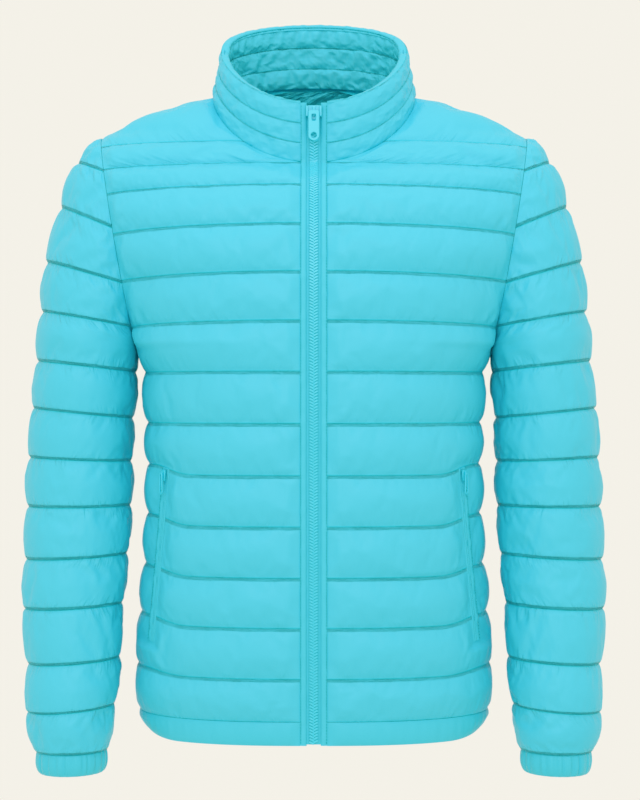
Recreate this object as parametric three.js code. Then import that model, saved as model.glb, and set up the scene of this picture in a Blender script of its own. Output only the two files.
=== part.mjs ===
// A light quilted puffer jacket with a stand collar, filled out as if worn, with no wearer in it.
// Millimetres. +Z is up, +X is the right of the front view and +Y is the back. The origin lies
// between the shoulders at neck height. The quilting is raised in the walls' outer points.

import * as THREE from 'three';
import { mergeVertices } from 'three/addons/utils/BufferGeometryUtils.js';

// Driving sizes
const WALL = 2.6;
const SEAM_GAP = 0.3;
const HALF_GAP = SEAM_GAP / 2;
const BODY_PUFF = 6;
const SLEEVE_PUFF = 4.5;
const COLLAR_PUFF = 4;
const SUB_ROWS = [0, 0.2, 0.5, 0.8];
const BODY_ROUNDNESS = 2 / 2.3;
const ARMHOLE_HALF_WIDTH = 185;
const ARMHOLE_LEAN = 0.17;
const ARMHOLE_HALF_DEPTH = 66;
const ARMHOLE_TURN = { share: 0.32, height: 80 };
const PIT_BLEND = 45;
const SEAM_HOLD = 8;
const LIFT_SPAN = { from: 0.45, length: 0.3 };
const SLOPE_SPAN = 30;
const SLOPE_POWER = 1.5;
const PUFF_POWER = 0.75;
const SIDE_SEAM_PUFF = 0.5;
const CAP_SLANT = 1.4;
const NORMAL_STEP = { height: 0.5, share: 0.004, row: 0.02, around: 0.005, end: 0.02 };
const NECK = { halfWidth: 106, front: 68, back: 62, zFront: -66, zSide: 9, zBack: 33, power: 1.2 };
const RIM = {
  halfWidth: 97, front: 71, back: 60, zFront: -5, zSide: 56, zBack: 95, power: 1.2, backPower: 0.7,
};
const EDGE_X = 13.5;
const STRIP_X = 7;
const TAPE_X = 0.4;
const COLLAR_ROWS = [0, 0.32, 0.65, 1];
const COLLAR_THICKNESS = 6;
const LINING = { share: 0.62, columns: 12, bottomRow: 13, inset: 4.1, edgePuff: 2, puff: 3 };
const CUFF = { gathers: 24, height: 22, inset: 1.2, wave: 0.9, endWave: 0.3, drawn: 0.05 };
const CUFF_LEVELS = [0, 0.12, 0.75, 1];
const HEM = { drop: 23.5, sideRise: 9, riseFrom: 0.5, bulge: 2.2, drawn: 0.035, drawnFrom: 0.3 };
const HEM_LEVELS = [0, 0.15, 0.6, 1];

// Depths of the front strips, behind the line of the front edges where they are above zero.
const PLACKET = { near: -0.6, far: 2 };
const TAPE = { near: 0.8, far: 1.8 };
const CHAIN = { half: 4.5, near: -2, far: 0.5, belowRim: 3 };
const SLIDER = { top: -9, height: 15, half: 7.4, thickness: 4.2, waist: 0.95, foot: 0.66, waistAt: 0.45 };
const PULL = { pinZ: -15.6, length: 31, half: 5.6, thickness: 2.2, gap: 0.6 };
const PULL_SLOT = { half: 2, top: -3, bottom: -9.5 };
const PULL_EYE_RADIUS = 3;

const POCKET_HALF_WIDTH = 3.6;
const POCKET_ZIP = { lift: SEAM_GAP, thickness: 1.4 };
const POCKET_SLIDER = { drop: 8, top: 5, bottom: -6, halfTop: 4, halfBottom: 3, thickness: 2.6 };
const POCKET_PULL = { top: 1, bottom: -16, halfTop: 2.4, halfBottom: 3, thickness: 1.8 };
const POCKET_PULL_SLOT = { top: -4, bottom: -15.5, halfTop: 0.9, halfBottom: 1.2 };

// One row for each stitch line of the body, from the hem seam up. wide is the half-width at the
// side seam, front and back are the depths at the centre, lift raises the line outside the pocket,
// and slope is how far the line runs up or down on its way to the side.
const BODY_ROWS = [
  { z: -629, wide: 181, front: 112, back: 104, lift: 0, slope: 0 },
  { z: -586, wide: 183, front: 114, back: 103, lift: 5, slope: 0 },
  { z: -535, wide: 180, front: 116, back: 101, lift: 8, slope: 0 },
  { z: -485, wide: 176, front: 117, back: 99, lift: 8, slope: 0 },
  { z: -434, wide: 173, front: 118, back: 99, lift: 9, slope: 0 },
  { z: -383, wide: 172, front: 118, back: 101, lift: 9, slope: 0 },
  { z: -331, wide: 173, front: 119, back: 104, lift: 0, slope: 0 },
  { z: -279, wide: 176, front: 119, back: 108, lift: 0, slope: 0 },
  { z: -228, wide: 184, front: 119, back: 111, lift: 0, slope: -5.5 },
  { z: -179, wide: 185, front: 117, back: 112, lift: 0, slope: -6.5 },
  { z: -130.5, wide: 185, front: 109, back: 112, lift: 0, slope: -8 },
  { z: -90, wide: 185, front: 91, back: 109, lift: 0, slope: -7 },
  { z: -66, wide: 185, front: 68, back: 104, lift: 0, slope: -5 },
  { z: -42, wide: 185, front: 60, back: 97, lift: 0, slope: -4 },
  { z: 9, wide: 185, front: 40, back: 74.3, lift: 0, slope: 0 },
  { z: 32, wide: 185, front: 40, back: 62.5, lift: 0, slope: 0 },
];
const NECK_ROW = 12;
const HIGH_POINT_ROW = 14;
const FRONT_TOP_ROW = 13.96;
const BACK_TOP_ROW = 15;

// The top of the shoulder, from its tip to the neck.
const SHOULDER = [
  { z: -34, x: 223 },
  { z: -15, x: 184 },
  { z: -4.5, x: 156 },
  { z: 4, x: 131 },
  { z: 9, x: 106 },
];

// One row for each stitch line of a sleeve, from the shoulder down. x and z are its inner point,
// reach the half-width, deep the half-depth, y the forward bend and tilt the slope in degrees.
// Rows above the armpit start on the armhole, so they state no x, deep or y.
const SLEEVE_ROWS = [
  { q: 0, z: -35.5, reach: 120, tilt: 23 },
  { q: 1, z: -74, reach: 93, tilt: 23 },
  { q: 2, z: -133, reach: 70.5, tilt: 23.5 },
  { q: 3, z: -189, reach: 61, tilt: 16.5 },
  { q: 4, z: -233, reach: 53, tilt: 10 },
  { q: 4.5, x: 185.2, z: -253.5, reach: 50.9, deep: 66, y: 0, tilt: 8 },
  { q: 5, x: 187.5, z: -279, reach: 50.6, deep: 64.5, y: 0, tilt: 6.4 },
  { q: 6, x: 191, z: -327, reach: 51.2, deep: 61, y: -2, tilt: 5.8 },
  { q: 7, x: 192.5, z: -372, reach: 51.8, deep: 58, y: -4, tilt: 2.3 },
  { q: 8, x: 193, z: -418, reach: 52.2, deep: 56, y: -8, tilt: -0.5 },
  { q: 9, x: 196, z: -468, reach: 51.5, deep: 54, y: -13, tilt: -3 },
  { q: 10, x: 200.5, z: -519, reach: 49.6, deep: 52, y: -19, tilt: -3 },
  { q: 11, x: 202.5, z: -574, reach: 46.4, deep: 50, y: -26, tilt: -4 },
  { q: 12, x: 207, z: -622, reach: 44, deep: 48, y: -33, tilt: -4.6 },
  { q: 13, x: 213.2, z: -667.5, reach: 36.5, deep: 40, y: -39, tilt: -1 },
];
const SLEEVE_PIT = 4.5;
const SLEEVE_END = 13;

// The slanted pocket zips, as seen from the front.
const POCKET = { topRow: 5, bottomRow: 1.5, xTop: 150, xBottom: 167 };

// Shares of the way from the centre to the side at which the panels have their columns.
const FIRST_FRONT_SHARE = 0.1;
const PLAIN_FRONT_ROW = 7;
const PLAIN_POCKET_SHARES = [0.62, 0.68];
const POCKET_COLUMNS = [6, 7];
const BACK_SHARES = [0.1, 0.22, 0.34, 0.46, 0.58, 0.69, 0.79, 0.88, 0.95, 1];

const COLOURS = {
  shell: 0x55cfe6,
  trim: 0x49c3dc,
  lining: 0x35b3cc,
  zip: 0x6ad6ea,
};

function smooth(value) {
  const t = Math.min(1, Math.max(0, value));
  return t * t * (3 - 2 * t);
}

// Reads a column of a table at any place between its rows, with a smooth curve through them.
function lookup(rows, key, column, place) {
  const up = Math.sign(rows[rows.length - 1][key] - rows[0][key]);
  let i = 0;
  while (i < rows.length - 2 && (place - rows[i + 1][key]) * up > 0) i += 1;
  const slope = (k) => {
    const low = rows[Math.max(0, k - 1)];
    const high = rows[Math.min(rows.length - 1, k + 1)];
    return (high[column] - low[column]) / (high[key] - low[key]);
  };
  const span = rows[i + 1][key] - rows[i][key];
  const t = Math.min(1, Math.max(0, (place - rows[i][key]) / span));
  const a = rows[i][column];
  const b = rows[i + 1][column];
  const bend = t * t * (3 - 2 * t);
  const leave = (t * t * t - 2 * t * t + t) * slope(i) * span;
  const arrive = (t * t * t - t * t) * slope(i + 1) * span;
  return a + (b - a) * bend + leave + arrive;
}

const NUMBERED_BODY_ROWS = BODY_ROWS.map((row, q) => ({ ...row, q }));
const PIT_Z = (BODY_ROWS[7].z + BODY_ROWS[8].z) / 2;
const TIP_Z = SHOULDER[0].z;
const ARMHOLE_Z = (PIT_Z + TIP_Z) / 2;
const ARMHOLE_HALF_LENGTH = (TIP_Z - PIT_Z) / 2;

function rowHeight(q) {
  const low = NUMBERED_BODY_ROWS[Math.min(NUMBERED_BODY_ROWS.length - 2, Math.floor(q))];
  const high = NUMBERED_BODY_ROWS[low.q + 1];
  return low.z + (high.z - low.z) * (q - low.q);
}

function armholeX(z) {
  return ARMHOLE_HALF_WIDTH + ARMHOLE_LEAN * Math.max(0, z - PIT_Z);
}

function armholeY(z, inset) {
  const along = (z - ARMHOLE_Z) / (ARMHOLE_HALF_LENGTH - inset);
  return (ARMHOLE_HALF_DEPTH - inset) * Math.sqrt(Math.max(0, 1 - along * along));
}

// A point of the neckline or of the collar's rim, at an angle from the front centre.
function ringPoint(ring, angle, inset) {
  const ahead = Math.cos(angle);
  const side = Math.abs(ahead) ** (ahead < 0 && ring.backPower ? ring.backPower : ring.power);
  const x = (ring.halfWidth - inset) * Math.sin(angle);
  const y = ahead > 0 ? -(ring.front - inset) * ahead : -(ring.back - inset) * ahead;
  const rise = ahead > 0 ? (ring.zFront - ring.zSide) * side : (ring.zBack - ring.zSide) * side;
  return new THREE.Vector3(x, y, ring.zSide + rise);
}

// Where the neckline crosses a level, on the front or on the back.
function neckCrossing(z, isFront, inset) {
  const end = isFront ? NECK.zFront : NECK.zBack;
  const side = Math.max(0, Math.min(1, (z + inset - NECK.zSide) / (end - NECK.zSide)));
  const ahead = side ** (1 / NECK.power);
  const x = (NECK.halfWidth - inset) * Math.sqrt(1 - ahead * ahead);
  const depth = isFront ? NECK.front : NECK.back;
  return { x, y: (depth - inset) * ahead };
}

// The two ends of a level line across half of the front or back, and how far it turns sideways.
function rowEnds(z, isFront, inset) {
  const neckZ = isFront ? NECK.zFront - inset : NECK.zSide - inset;
  const atNeck = z > neckZ ? neckCrossing(z, isFront, inset) : null;
  const depth = lookup(BODY_ROWS, 'z', isFront ? 'front' : 'back', z) - inset;
  let inner = { x: isFront ? EDGE_X : 0, y: depth };
  if (isFront && atNeck && atNeck.x > EDGE_X) inner = atNeck;
  let outer = { x: lookup(BODY_ROWS, 'z', 'wide', z) - inset, y: 0 };
  if (z > PIT_Z) outer = { x: armholeX(z), y: armholeY(z, inset) };
  if (z > TIP_Z - inset) outer = { x: lookup(SHOULDER, 'z', 'x', z + inset), y: 0 };
  if (!isFront && atNeck) outer = atNeck;
  const turn = (Math.PI / 2) * (1 - ARMHOLE_TURN.share * smooth((z - PIT_Z) / ARMHOLE_TURN.height));
  return { inner, outer, turn };
}

// The height that a stitch line has reached at a share of the way to the side.
function lineLevel(z, share) {
  const lift = lookup(BODY_ROWS, 'z', 'lift', z) * smooth((share - LIFT_SPAN.from) / LIFT_SPAN.length);
  const last = BODY_ROWS.length - 2;
  const next = BODY_ROWS.findIndex((row) => row.z > z);
  const i = next < 0 ? last : Math.max(0, next - 1);
  const part = (z - BODY_ROWS[i].z) / (BODY_ROWS[i + 1].z - BODY_ROWS[i].z);
  const slope = BODY_ROWS[i].slope + (BODY_ROWS[i + 1].slope - BODY_ROWS[i].slope) * part;
  return z + lift + slope * smooth((z - PIT_Z) / SLOPE_SPAN) * share ** SLOPE_POWER;
}

// How far forward or back a line's outer end is taken to be. It follows the armhole at the seam
// and runs smoothly past the armpit away from it.
function sideDepth(level, share, seamDepth, inset) {
  if (level > ARMHOLE_Z) return seamDepth;
  const rise = (level - PIT_Z + PIT_BLEND) / (ARMHOLE_HALF_LENGTH + PIT_BLEND);
  const easy = (ARMHOLE_HALF_DEPTH - inset) * smooth(rise);
  return easy + (seamDepth - easy) * share ** SEAM_HOLD;
}

// A point of the body at a share of the way from the centre to the side.
function bodyPoint(z, share, isFront, inset) {
  const level = lineLevel(z, share);
  const { inner, outer, turn } = rowEnds(level, isFront, inset);
  const angle = share * turn;
  const out = (Math.sin(angle) / Math.sin(turn)) ** BODY_ROUNDNESS;
  const end = Math.cos(turn) ** BODY_ROUNDNESS;
  const ahead = (Math.cos(angle) ** BODY_ROUNDNESS - end) / (1 - end);
  const x = inner.x + (outer.x - inner.x) * out;
  const side = sideDepth(level, share, outer.y, inset);
  const y = side + (inner.y - side) * ahead;
  return new THREE.Vector3(x, isFront ? -y : y, level);
}

function shareAtX(z, x) {
  const { inner, outer, turn } = rowEnds(z, true, 0);
  const out = Math.max(0, (x - inner.x) / (outer.x - inner.x)) ** (1 / BODY_ROUNDNESS);
  return Math.asin(Math.min(1, out * Math.sin(turn))) / turn;
}

function pocketX(z) {
  const top = rowHeight(POCKET.topRow);
  const bottom = rowHeight(POCKET.bottomRow);
  const down = Math.min(1, Math.max(0, (top - z) / (top - bottom)));
  return POCKET.xTop + (POCKET.xBottom - POCKET.xTop) * down;
}

function isAtPocket(q) {
  return q >= POCKET.bottomRow && q <= POCKET.topRow;
}

// The outward direction of a surface given as a function of two places.
function outward(surface, a, b, stepA, stepB) {
  const alongA = surface(a + stepA, b).sub(surface(a - stepA, b));
  const alongB = surface(a, b + stepB).sub(surface(a, b - stepB));
  return alongA.cross(alongB).normalize();
}

// The height of a puff between two stitch lines, flat at each line.
function puffShape(q) {
  return Math.sin(Math.PI * (q - Math.floor(q))) ** PUFF_POWER;
}

function subRows(first, last) {
  const list = [];
  for (let row = first; row < last; row += 1) {
    SUB_ROWS.forEach((part) => list.push(row + part));
  }
  list.push(last);
  return list;
}

function evenShares(count, from = 0, to = 1) {
  return Array.from({ length: count + 1 }, (_, i) => from + ((to - from) * i) / count);
}

// The columns of a front: its stitched edge, the chest, both edges of the pocket, the side.
function frontShares(q) {
  const z = rowHeight(q);
  const pocketTop = shareAtX(z, pocketX(z) - POCKET_HALF_WIDTH);
  const pocketEnd = shareAtX(z, pocketX(z) + POCKET_HALF_WIDTH);
  const pocket = q < PLAIN_FRONT_ROW ? [pocketTop, pocketEnd] : PLAIN_POCKET_SHARES;
  const chest = evenShares(5, FIRST_FRONT_SHARE, pocket[0]);
  return [0, ...chest, pocket[1], ...evenShares(2, (pocket[1] + 1) / 2, 1)];
}

function frontPuff(q, share, column) {
  const z = rowHeight(q);
  if (column === 0) return 0;
  if (isAtPocket(q) && POCKET_COLUMNS.includes(column)) return 0;
  return BODY_PUFF * puffShape(q) * edgePuff(z, share);
}

function edgePuff(z, share) {
  if (share < 1) return 1;
  return z < PIT_Z ? SIDE_SEAM_PUFF : 0;
}

// Joins an outer grid of points and a coarser inner one into one closed wall. innerAt gives the
// outer row that each inner row faces. The side walls are left out where a row is a whole ring.
function closedWall(outer, inner, innerAt, isRing = () => false) {
  const triangles = [];
  const quad = (a, b, c, d) => triangles.push([a, b, c], [a, c, d]);
  const last = outer[0].length - 1;
  for (let r = 0; r < outer.length - 1; r += 1) {
    for (let c = 0; c < last; c += 1) {
      quad(outer[r][c], outer[r][c + 1], outer[r + 1][c + 1], outer[r + 1][c]);
    }
  }
  for (let k = 0; k < inner.length - 1; k += 1) {
    for (let c = 0; c < last; c += 1) {
      quad(inner[k][c + 1], inner[k][c], inner[k + 1][c], inner[k + 1][c + 1]);
    }
    if (isRing(innerAt[k])) continue;
    const from = innerAt[k];
    const to = innerAt[k + 1];
    for (let r = from; r < to; r += 1) {
      triangles.push([inner[k][0], outer[r][0], outer[r + 1][0]]);
      triangles.push([inner[k][last], outer[r + 1][last], outer[r][last]]);
    }
    triangles.push([inner[k][0], outer[to][0], inner[k + 1][0]]);
    triangles.push([inner[k][last], inner[k + 1][last], outer[to][last]]);
  }
  const top = outer.length - 1;
  const innerTop = inner.length - 1;
  for (let c = 0; c < last; c += 1) {
    quad(outer[0][c + 1], outer[0][c], inner[0][c], inner[0][c + 1]);
    quad(outer[top][c], outer[top][c + 1], inner[innerTop][c + 1], inner[innerTop][c]);
  }
  return solidFrom(triangles);
}

// Makes a geometry of triangles and turns it so that its faces point outward.
function solidFrom(triangles) {
  let volume = 0;
  const cross = new THREE.Vector3();
  triangles.forEach(([a, b, c]) => {
    volume += a.dot(cross.crossVectors(b, c));
  });
  const points = [];
  triangles.forEach(([a, b, c]) => {
    const order = volume > 0 ? [a, b, c] : [a, c, b];
    order.forEach((point) => points.push(point.x, point.y, point.z));
  });
  const geometry = new THREE.BufferGeometry();
  geometry.setAttribute('position', new THREE.Float32BufferAttribute(points, 3));
  const merged = mergeVertices(geometry, 1e-3);
  const kept = [];
  for (let i = 0; i < merged.index.count; i += 3) {
    const [a, b, c] = [0, 1, 2].map((k) => merged.index.getX(i + k));
    if (a !== b && b !== c && a !== c) kept.push(a, b, c);
  }
  merged.setIndex(kept);
  merged.computeVertexNormals();
  return merged;
}

function sideOf(point, sign) {
  return new THREE.Vector3(point.x * sign, point.y, point.z);
}

// Keeps a point of the body on its own side of the armhole and of the side and shoulder seams.
function keepInBody(point, isFront) {
  point.x = Math.min(point.x, armholeX(point.z) - HALF_GAP);
  point.y = isFront ? Math.min(point.y, -HALF_GAP) : Math.max(point.y, HALF_GAP);
  return point;
}

// The rows that the plain inside of a wall has: the stitch lines and the places named.
function plainRows(list, isKept) {
  return list.map((q, r) => [q, r]).filter(([q]) => Number.isInteger(q) || isKept(q));
}

// The level of the wall's inner points, which lie lower near the shoulders.
function innerHeight(q) {
  const z = rowHeight(q);
  return z - WALL * smooth((z - PIT_Z) / (TIP_Z - PIT_Z));
}

function bodyWall(isFront, sharesAt, puffAt, topRow) {
  const rows = subRows(0, topRow);
  const surface = (z, share) => bodyPoint(z, share, isFront, 0);
  const outer = rows.map((q) => {
    const shares = sharesAt(q);
    return shares.map((signed, column) => {
      const share = Math.abs(signed);
      const z = rowHeight(q);
      const point = surface(z, share);
      const inside = Math.min(1 - NORMAL_STEP.end, Math.max(NORMAL_STEP.end, share));
      const normal = outward(surface, z, inside, NORMAL_STEP.height, NORMAL_STEP.share);
      if (isFront ? normal.y > 0 : normal.y < 0) normal.negate();
      point.addScaledVector(normal, puffAt(q, share, column));
      return sideOf(keepInBody(point, isFront), signed < 0 ? -1 : 1);
    });
  });
  const stitched = plainRows(rows, (q) => q > NECK_ROW);
  const inner = stitched.map(([q]) =>
    sharesAt(q).map((signed) => {
      const point = bodyPoint(innerHeight(q), Math.abs(signed), isFront, WALL);
      return sideOf(keepInBody(point, isFront), signed < 0 ? -1 : 1);
    })
  );
  return closedWall(outer, inner, stitched.map(([, r]) => r));
}

function front(sign) {
  const geometry = bodyWall(true, frontShares, frontPuff, FRONT_TOP_ROW);
  return mirrored(geometry, sign);
}

function back() {
  const shares = [...BACK_SHARES.map((share) => -share).reverse(), 0, ...BACK_SHARES];
  const puff = (q, share) => BODY_PUFF * puffShape(q) * edgePuff(rowHeight(q), share);
  return bodyWall(false, () => shares, puff, BACK_TOP_ROW);
}

// A copy of a solid for the left or the right side.
function mirrored(geometry, sign) {
  if (sign > 0) return geometry;
  const copy = geometry.clone();
  copy.scale(-1, 1, 1);
  const index = copy.index.array.slice();
  for (let i = 0; i < index.length; i += 3) [index[i], index[i + 1]] = [index[i + 1], index[i]];
  copy.setIndex([...index]);
  copy.computeVertexNormals();
  return copy;
}

// A point of the sleeve on row q, at a share of the way round from the inner side.
function sleevePoint(q, share, inset) {
  const z = lookup(SLEEVE_ROWS, 'q', 'z', q);
  const reach = lookup(SLEEVE_ROWS, 'q', 'reach', q);
  const tilt = THREE.MathUtils.degToRad(lookup(SLEEVE_ROWS, 'q', 'tilt', q));
  const along = new THREE.Vector3(Math.cos(tilt), 0, Math.sin(tilt));
  const rings = SLEEVE_ROWS.filter((row) => row.q >= SLEEVE_PIT);
  let start = new THREE.Vector3();
  let halfTurn = Math.PI;
  let cut = 1;
  let size = reach - inset;
  let deep = ARMHOLE_HALF_DEPTH - inset;
  let bend = 0;
  if (q > SLEEVE_PIT) {
    start.set(lookup(rings, 'q', 'x', q), 0, z).addScaledVector(along, inset);
    deep = lookup(rings, 'q', 'deep', q) - inset;
    bend = lookup(rings, 'q', 'y', q);
  } else {
    const seen = Math.max(-1, Math.min(1, (ARMHOLE_Z - z) / ARMHOLE_HALF_LENGTH));
    const level = ARMHOLE_Z - seen * (ARMHOLE_HALF_LENGTH - inset);
    cut = q === SLEEVE_PIT ? 1 : seen;
    halfTurn = q === SLEEVE_PIT ? Math.PI : Math.PI - Math.acos(seen);
    size = reach - inset * Math.min(1 / (1 + cut), CAP_SLANT);
    start.set(armholeX(level), 0, level);
  }
  const angle = (2 * share - 1) * halfTurn;
  const point = start.addScaledVector(along, size * (Math.cos(angle) + cut));
  point.y = deep * Math.sin(angle) + bend;
  return point;
}

function keepInSleeve(point) {
  point.x = Math.max(point.x, armholeX(point.z) + HALF_GAP);
  return point;
}

function sleeve(sign) {
  const rows = subRows(0, SLEEVE_END);
  const shares = evenShares(18);
  const stitched = plainRows(rows, (q) => q === SLEEVE_PIT);
  const puffAt = (q, share) => {
    const atSeam = share === 0 || share === 1;
    return SLEEVE_PUFF * puffShape(q) * (atSeam && q < SLEEVE_PIT ? 0 : 1);
  };
  const outer = rows.map((q) =>
    shares.map((share) => {
      const around = q >= SLEEVE_PIT && share === 1 ? 0 : share;
      const surface = (row, place) => sleevePoint(row, place, 0);
      const point = surface(q, around);
      const { row, around: turn, end } = NORMAL_STEP;
      const near = Math.max(2 * row, Math.min(SLEEVE_END - 2 * row, q));
      const side = q >= SLEEVE_PIT ? around : Math.min(1 - end, Math.max(end, around));
      const normal = outward(surface, near, side, row, turn);
      point.addScaledVector(normal, puffAt(q, share));
      return keepInSleeve(point);
    })
  );
  const inner = stitched.map(([q]) =>
    shares.map((share) => {
      const around = q >= SLEEVE_PIT && share === 1 ? 0 : share;
      return keepInSleeve(sleevePoint(q, around, WALL));
    })
  );
  const pitRow = rows.indexOf(SLEEVE_PIT);
  const geometry = closedWall(outer, inner, stitched.map(([, r]) => r), (r) => r >= pitRow);
  return mirrored(geometry, sign);
}

// A gathered band at the sleeve's end, with rounded lower corners.
function cuff(sign) {
  const shares = evenShares(CUFF.gathers * 2);
  const ring = (down, share, inset) => {
    const around = share === 1 ? 0 : share;
    const round = 1 - CUFF.drawn * down * down;
    const base = sleevePoint(SLEEVE_END, around, inset + CUFF.inset);
    const middle = sleevePoint(SLEEVE_END, 0, 0).add(sleevePoint(SLEEVE_END, 0.5, 0));
    middle.multiplyScalar(0.5);
    const from = base.sub(middle);
    const wave = inset > 0 ? 0 : CUFF.wave * Math.cos(2 * Math.PI * CUFF.gathers * around);
    const grow = 1 + (wave * (down > 0 && down < 1 ? 1 : CUFF.endWave)) / from.length();
    from.multiplyScalar(grow * round);
    const point = middle.add(from);
    point.z -= SEAM_GAP + down * CUFF.height;
    return point;
  };
  const outer = CUFF_LEVELS.map((down) => shares.map((share) => ring(down, share, 0)));
  const inner = [0, 1].map((down) => shares.map((share) => ring(down, share, WALL)));
  const geometry = closedWall(outer, inner, [0, CUFF_LEVELS.length - 1], () => true);
  return mirrored(geometry, sign);
}

// The band round the bottom edge, lower at the front and drawn in under the sides.
function hemBand(isFront, shares, sign) {
  const point = (down, signed, inset) => {
    const share = Math.abs(signed);
    const edge = bodyPoint(BODY_ROWS[0].z, share, isFront, inset);
    const atSide = smooth((share - HEM.riseFrom) / (1 - HEM.riseFrom));
    const drop = HEM.drop - HEM.sideRise * atSide;
    const isPlain = inset > 0 || (share === 0 && isFront);
    const bulge = isPlain ? 0 : HEM.bulge * Math.sin(Math.PI * down);
    const pull = smooth((share - HEM.drawnFrom) / (1 - HEM.drawnFrom));
    edge.x = (edge.x + bulge * atSide) * (1 - HEM.drawn * down * down * pull);
    edge.y += (isFront ? -1 : 1) * bulge * (1 - atSide);
    edge.z -= SEAM_GAP + drop * down;
    return sideOf(keepInBody(edge, isFront), signed < 0 ? -1 : 1);
  };
  const outer = HEM_LEVELS.map((down) => shares.map((share) => point(down, share, 0)));
  const inner = [0, 1].map((down) => shares.map((share) => point(down, share, WALL)));
  return mirrored(closedWall(outer, inner, [0, HEM_LEVELS.length - 1]), sign);
}

// The collar's outer cloth or its facing. Each has its puffs on the side that shows.
function collarPoint(angle, rise, inset) {
  const low = ringPoint(NECK, angle, inset);
  const high = ringPoint(RIM, angle, inset);
  low.z += SEAM_GAP - inset;
  const point = low.lerp(high, rise);
  if (Math.cos(angle) > 0) {
    point.x = Math.sign(Math.sin(angle)) * Math.max(EDGE_X, Math.abs(point.x));
  }
  return point;
}

function collarRise(q) {
  const row = Math.min(2, Math.floor(q));
  return COLLAR_ROWS[row] + (COLLAR_ROWS[row + 1] - COLLAR_ROWS[row]) * (q - row);
}

// The angles at which the rows of the fronts and back meet the neckline.
function collarAngles() {
  const ahead = subRows(NECK_ROW, HIGH_POINT_ROW).slice(1, -1).map((q) => rowHeight(q));
  const behind = subRows(HIGH_POINT_ROW, BACK_TOP_ROW).map((q) => rowHeight(q));
  const front = ahead.map((z) => Math.atan2(neckCrossing(z, true, 0).x / NECK.halfWidth,
    neckCrossing(z, true, 0).y / NECK.front));
  const rear = behind.map((z) => Math.PI - Math.atan2(neckCrossing(z, false, 0).x / NECK.halfWidth,
    neckCrossing(z, false, 0).y / NECK.back));
  const half = [Math.asin(EDGE_X / NECK.halfWidth), ...front, ...rear];
  return [...half, Math.PI, ...half.map((angle) => 2 * Math.PI - angle).reverse()];
}

function collarWall(puff, nearInset, farInset) {
  const rows = subRows(0, 3);
  const angles = collarAngles();
  const sign = Math.sign(puff);
  const puffed = rows.map((q) =>
    angles.map((angle, column) => {
      const atEnd = column === 0 || column === angles.length - 1;
      const height = atEnd ? 0 : puff * puffShape(q) * sign;
      return collarPoint(angle, collarRise(q), nearInset - sign * height);
    })
  );
  const plain = [0, 1, 2, 3].map((q) =>
    angles.map((angle) => collarPoint(angle, collarRise(q), farInset))
  );
  return closedWall(puffed, plain, [0, 4, 8, 12]);
}

function collar() {
  return collarWall(COLLAR_PUFF, 0, WALL);
}

function collarFacing() {
  return collarWall(-COLLAR_PUFF, COLLAR_THICKNESS, WALL + SEAM_GAP);
}

// The row of lining that shows inside the back, under the collar's facing.
function backNeckLining() {
  const shares = evenShares(LINING.columns, -LINING.share, LINING.share);
  const rows = subRows(LINING.bottomRow, BACK_TOP_ROW).slice(1, -1);
  const point = (q, signed, inset) => {
    const place = bodyPoint(innerHeight(q), Math.abs(signed), false, inset);
    return sideOf(place, signed < 0 ? -1 : 1);
  };
  const puffed = rows.map((q, i) => {
    const puff = LINING.puff * Math.sin((Math.PI * i) / (rows.length - 1)) ** PUFF_POWER;
    return shares.map((share) => point(q, share, LINING.inset + LINING.edgePuff + puff));
  });
  const plain = rows.map((q) => shares.map((share) => point(q, share, LINING.inset)));
  return closedWall(puffed, plain, rows.map((_, i) => i));
}

// The line of the front edges from the hem to the collar's rim.
function frontLine() {
  const line = [];
  const hem = BODY_ROWS[0];
  line.push(new THREE.Vector3(0, -hem.front, hem.z - HEM.drop));
  for (let q = 0; q < NECK_ROW; q += 0.5) {
    const z = rowHeight(q);
    line.push(new THREE.Vector3(0, -lookup(BODY_ROWS, 'z', 'front', z), z));
  }
  evenShares(4).forEach((rise) => {
    const point = ringPoint(NECK, 0, 0).lerp(ringPoint(RIM, 0, 0), rise);
    line.push(new THREE.Vector3(0, point.y, point.z));
  });
  return line;
}

// A strip along the front line, from one x to another and from one depth to another.
function frontStrip(fromX, toX, nearY, farY, keep = () => true) {
  const line = frontLine().filter(keep);
  const tangent = (i) => {
    const low = line[Math.max(0, i - 1)];
    const high = line[Math.min(line.length - 1, i + 1)];
    return high.clone().sub(low).normalize();
  };
  const at = (x, depth) => (point, i) => {
    const along = tangent(i);
    const ahead = new THREE.Vector3(0, -along.z, along.y);
    return point.clone().addScaledVector(ahead, -depth).setX(x);
  };
  const rows = (depth) => line.map((point, i) => [at(fromX, depth)(point, i), at(toX, depth)(point, i)]);
  return closedWall(rows(nearY), rows(farY), line.map((_, i) => i));
}

// The chain and tapes stop a little short of the collar's rim.
function belowRim(point) {
  return point.z < RIM.zFront - CHAIN.belowRim;
}

function placket(sign) {
  return mirrored(frontStrip(STRIP_X, EDGE_X - SEAM_GAP, PLACKET.near, PLACKET.far), sign);
}

function zipTape(sign) {
  return mirrored(frontStrip(TAPE_X, STRIP_X - SEAM_GAP, TAPE.near, TAPE.far), sign);
}

function zipChain() {
  return frontStrip(-CHAIN.half, CHAIN.half, CHAIN.near, CHAIN.far, belowRim);
}

// A flat piece with rounded corners, standing in XZ, with its front at the given y.
function plate(outline, thickness, y) {
  const geometry = new THREE.ExtrudeGeometry(outline, {
    depth: thickness,
    bevelEnabled: false,
    curveSegments: 6,
  });
  geometry.rotateX(Math.PI / 2);
  geometry.translate(0, y + thickness, 0);
  geometry.deleteAttribute('uv');
  geometry.deleteAttribute('normal');
  return mergeVertices(geometry, 1e-3);
}

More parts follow.
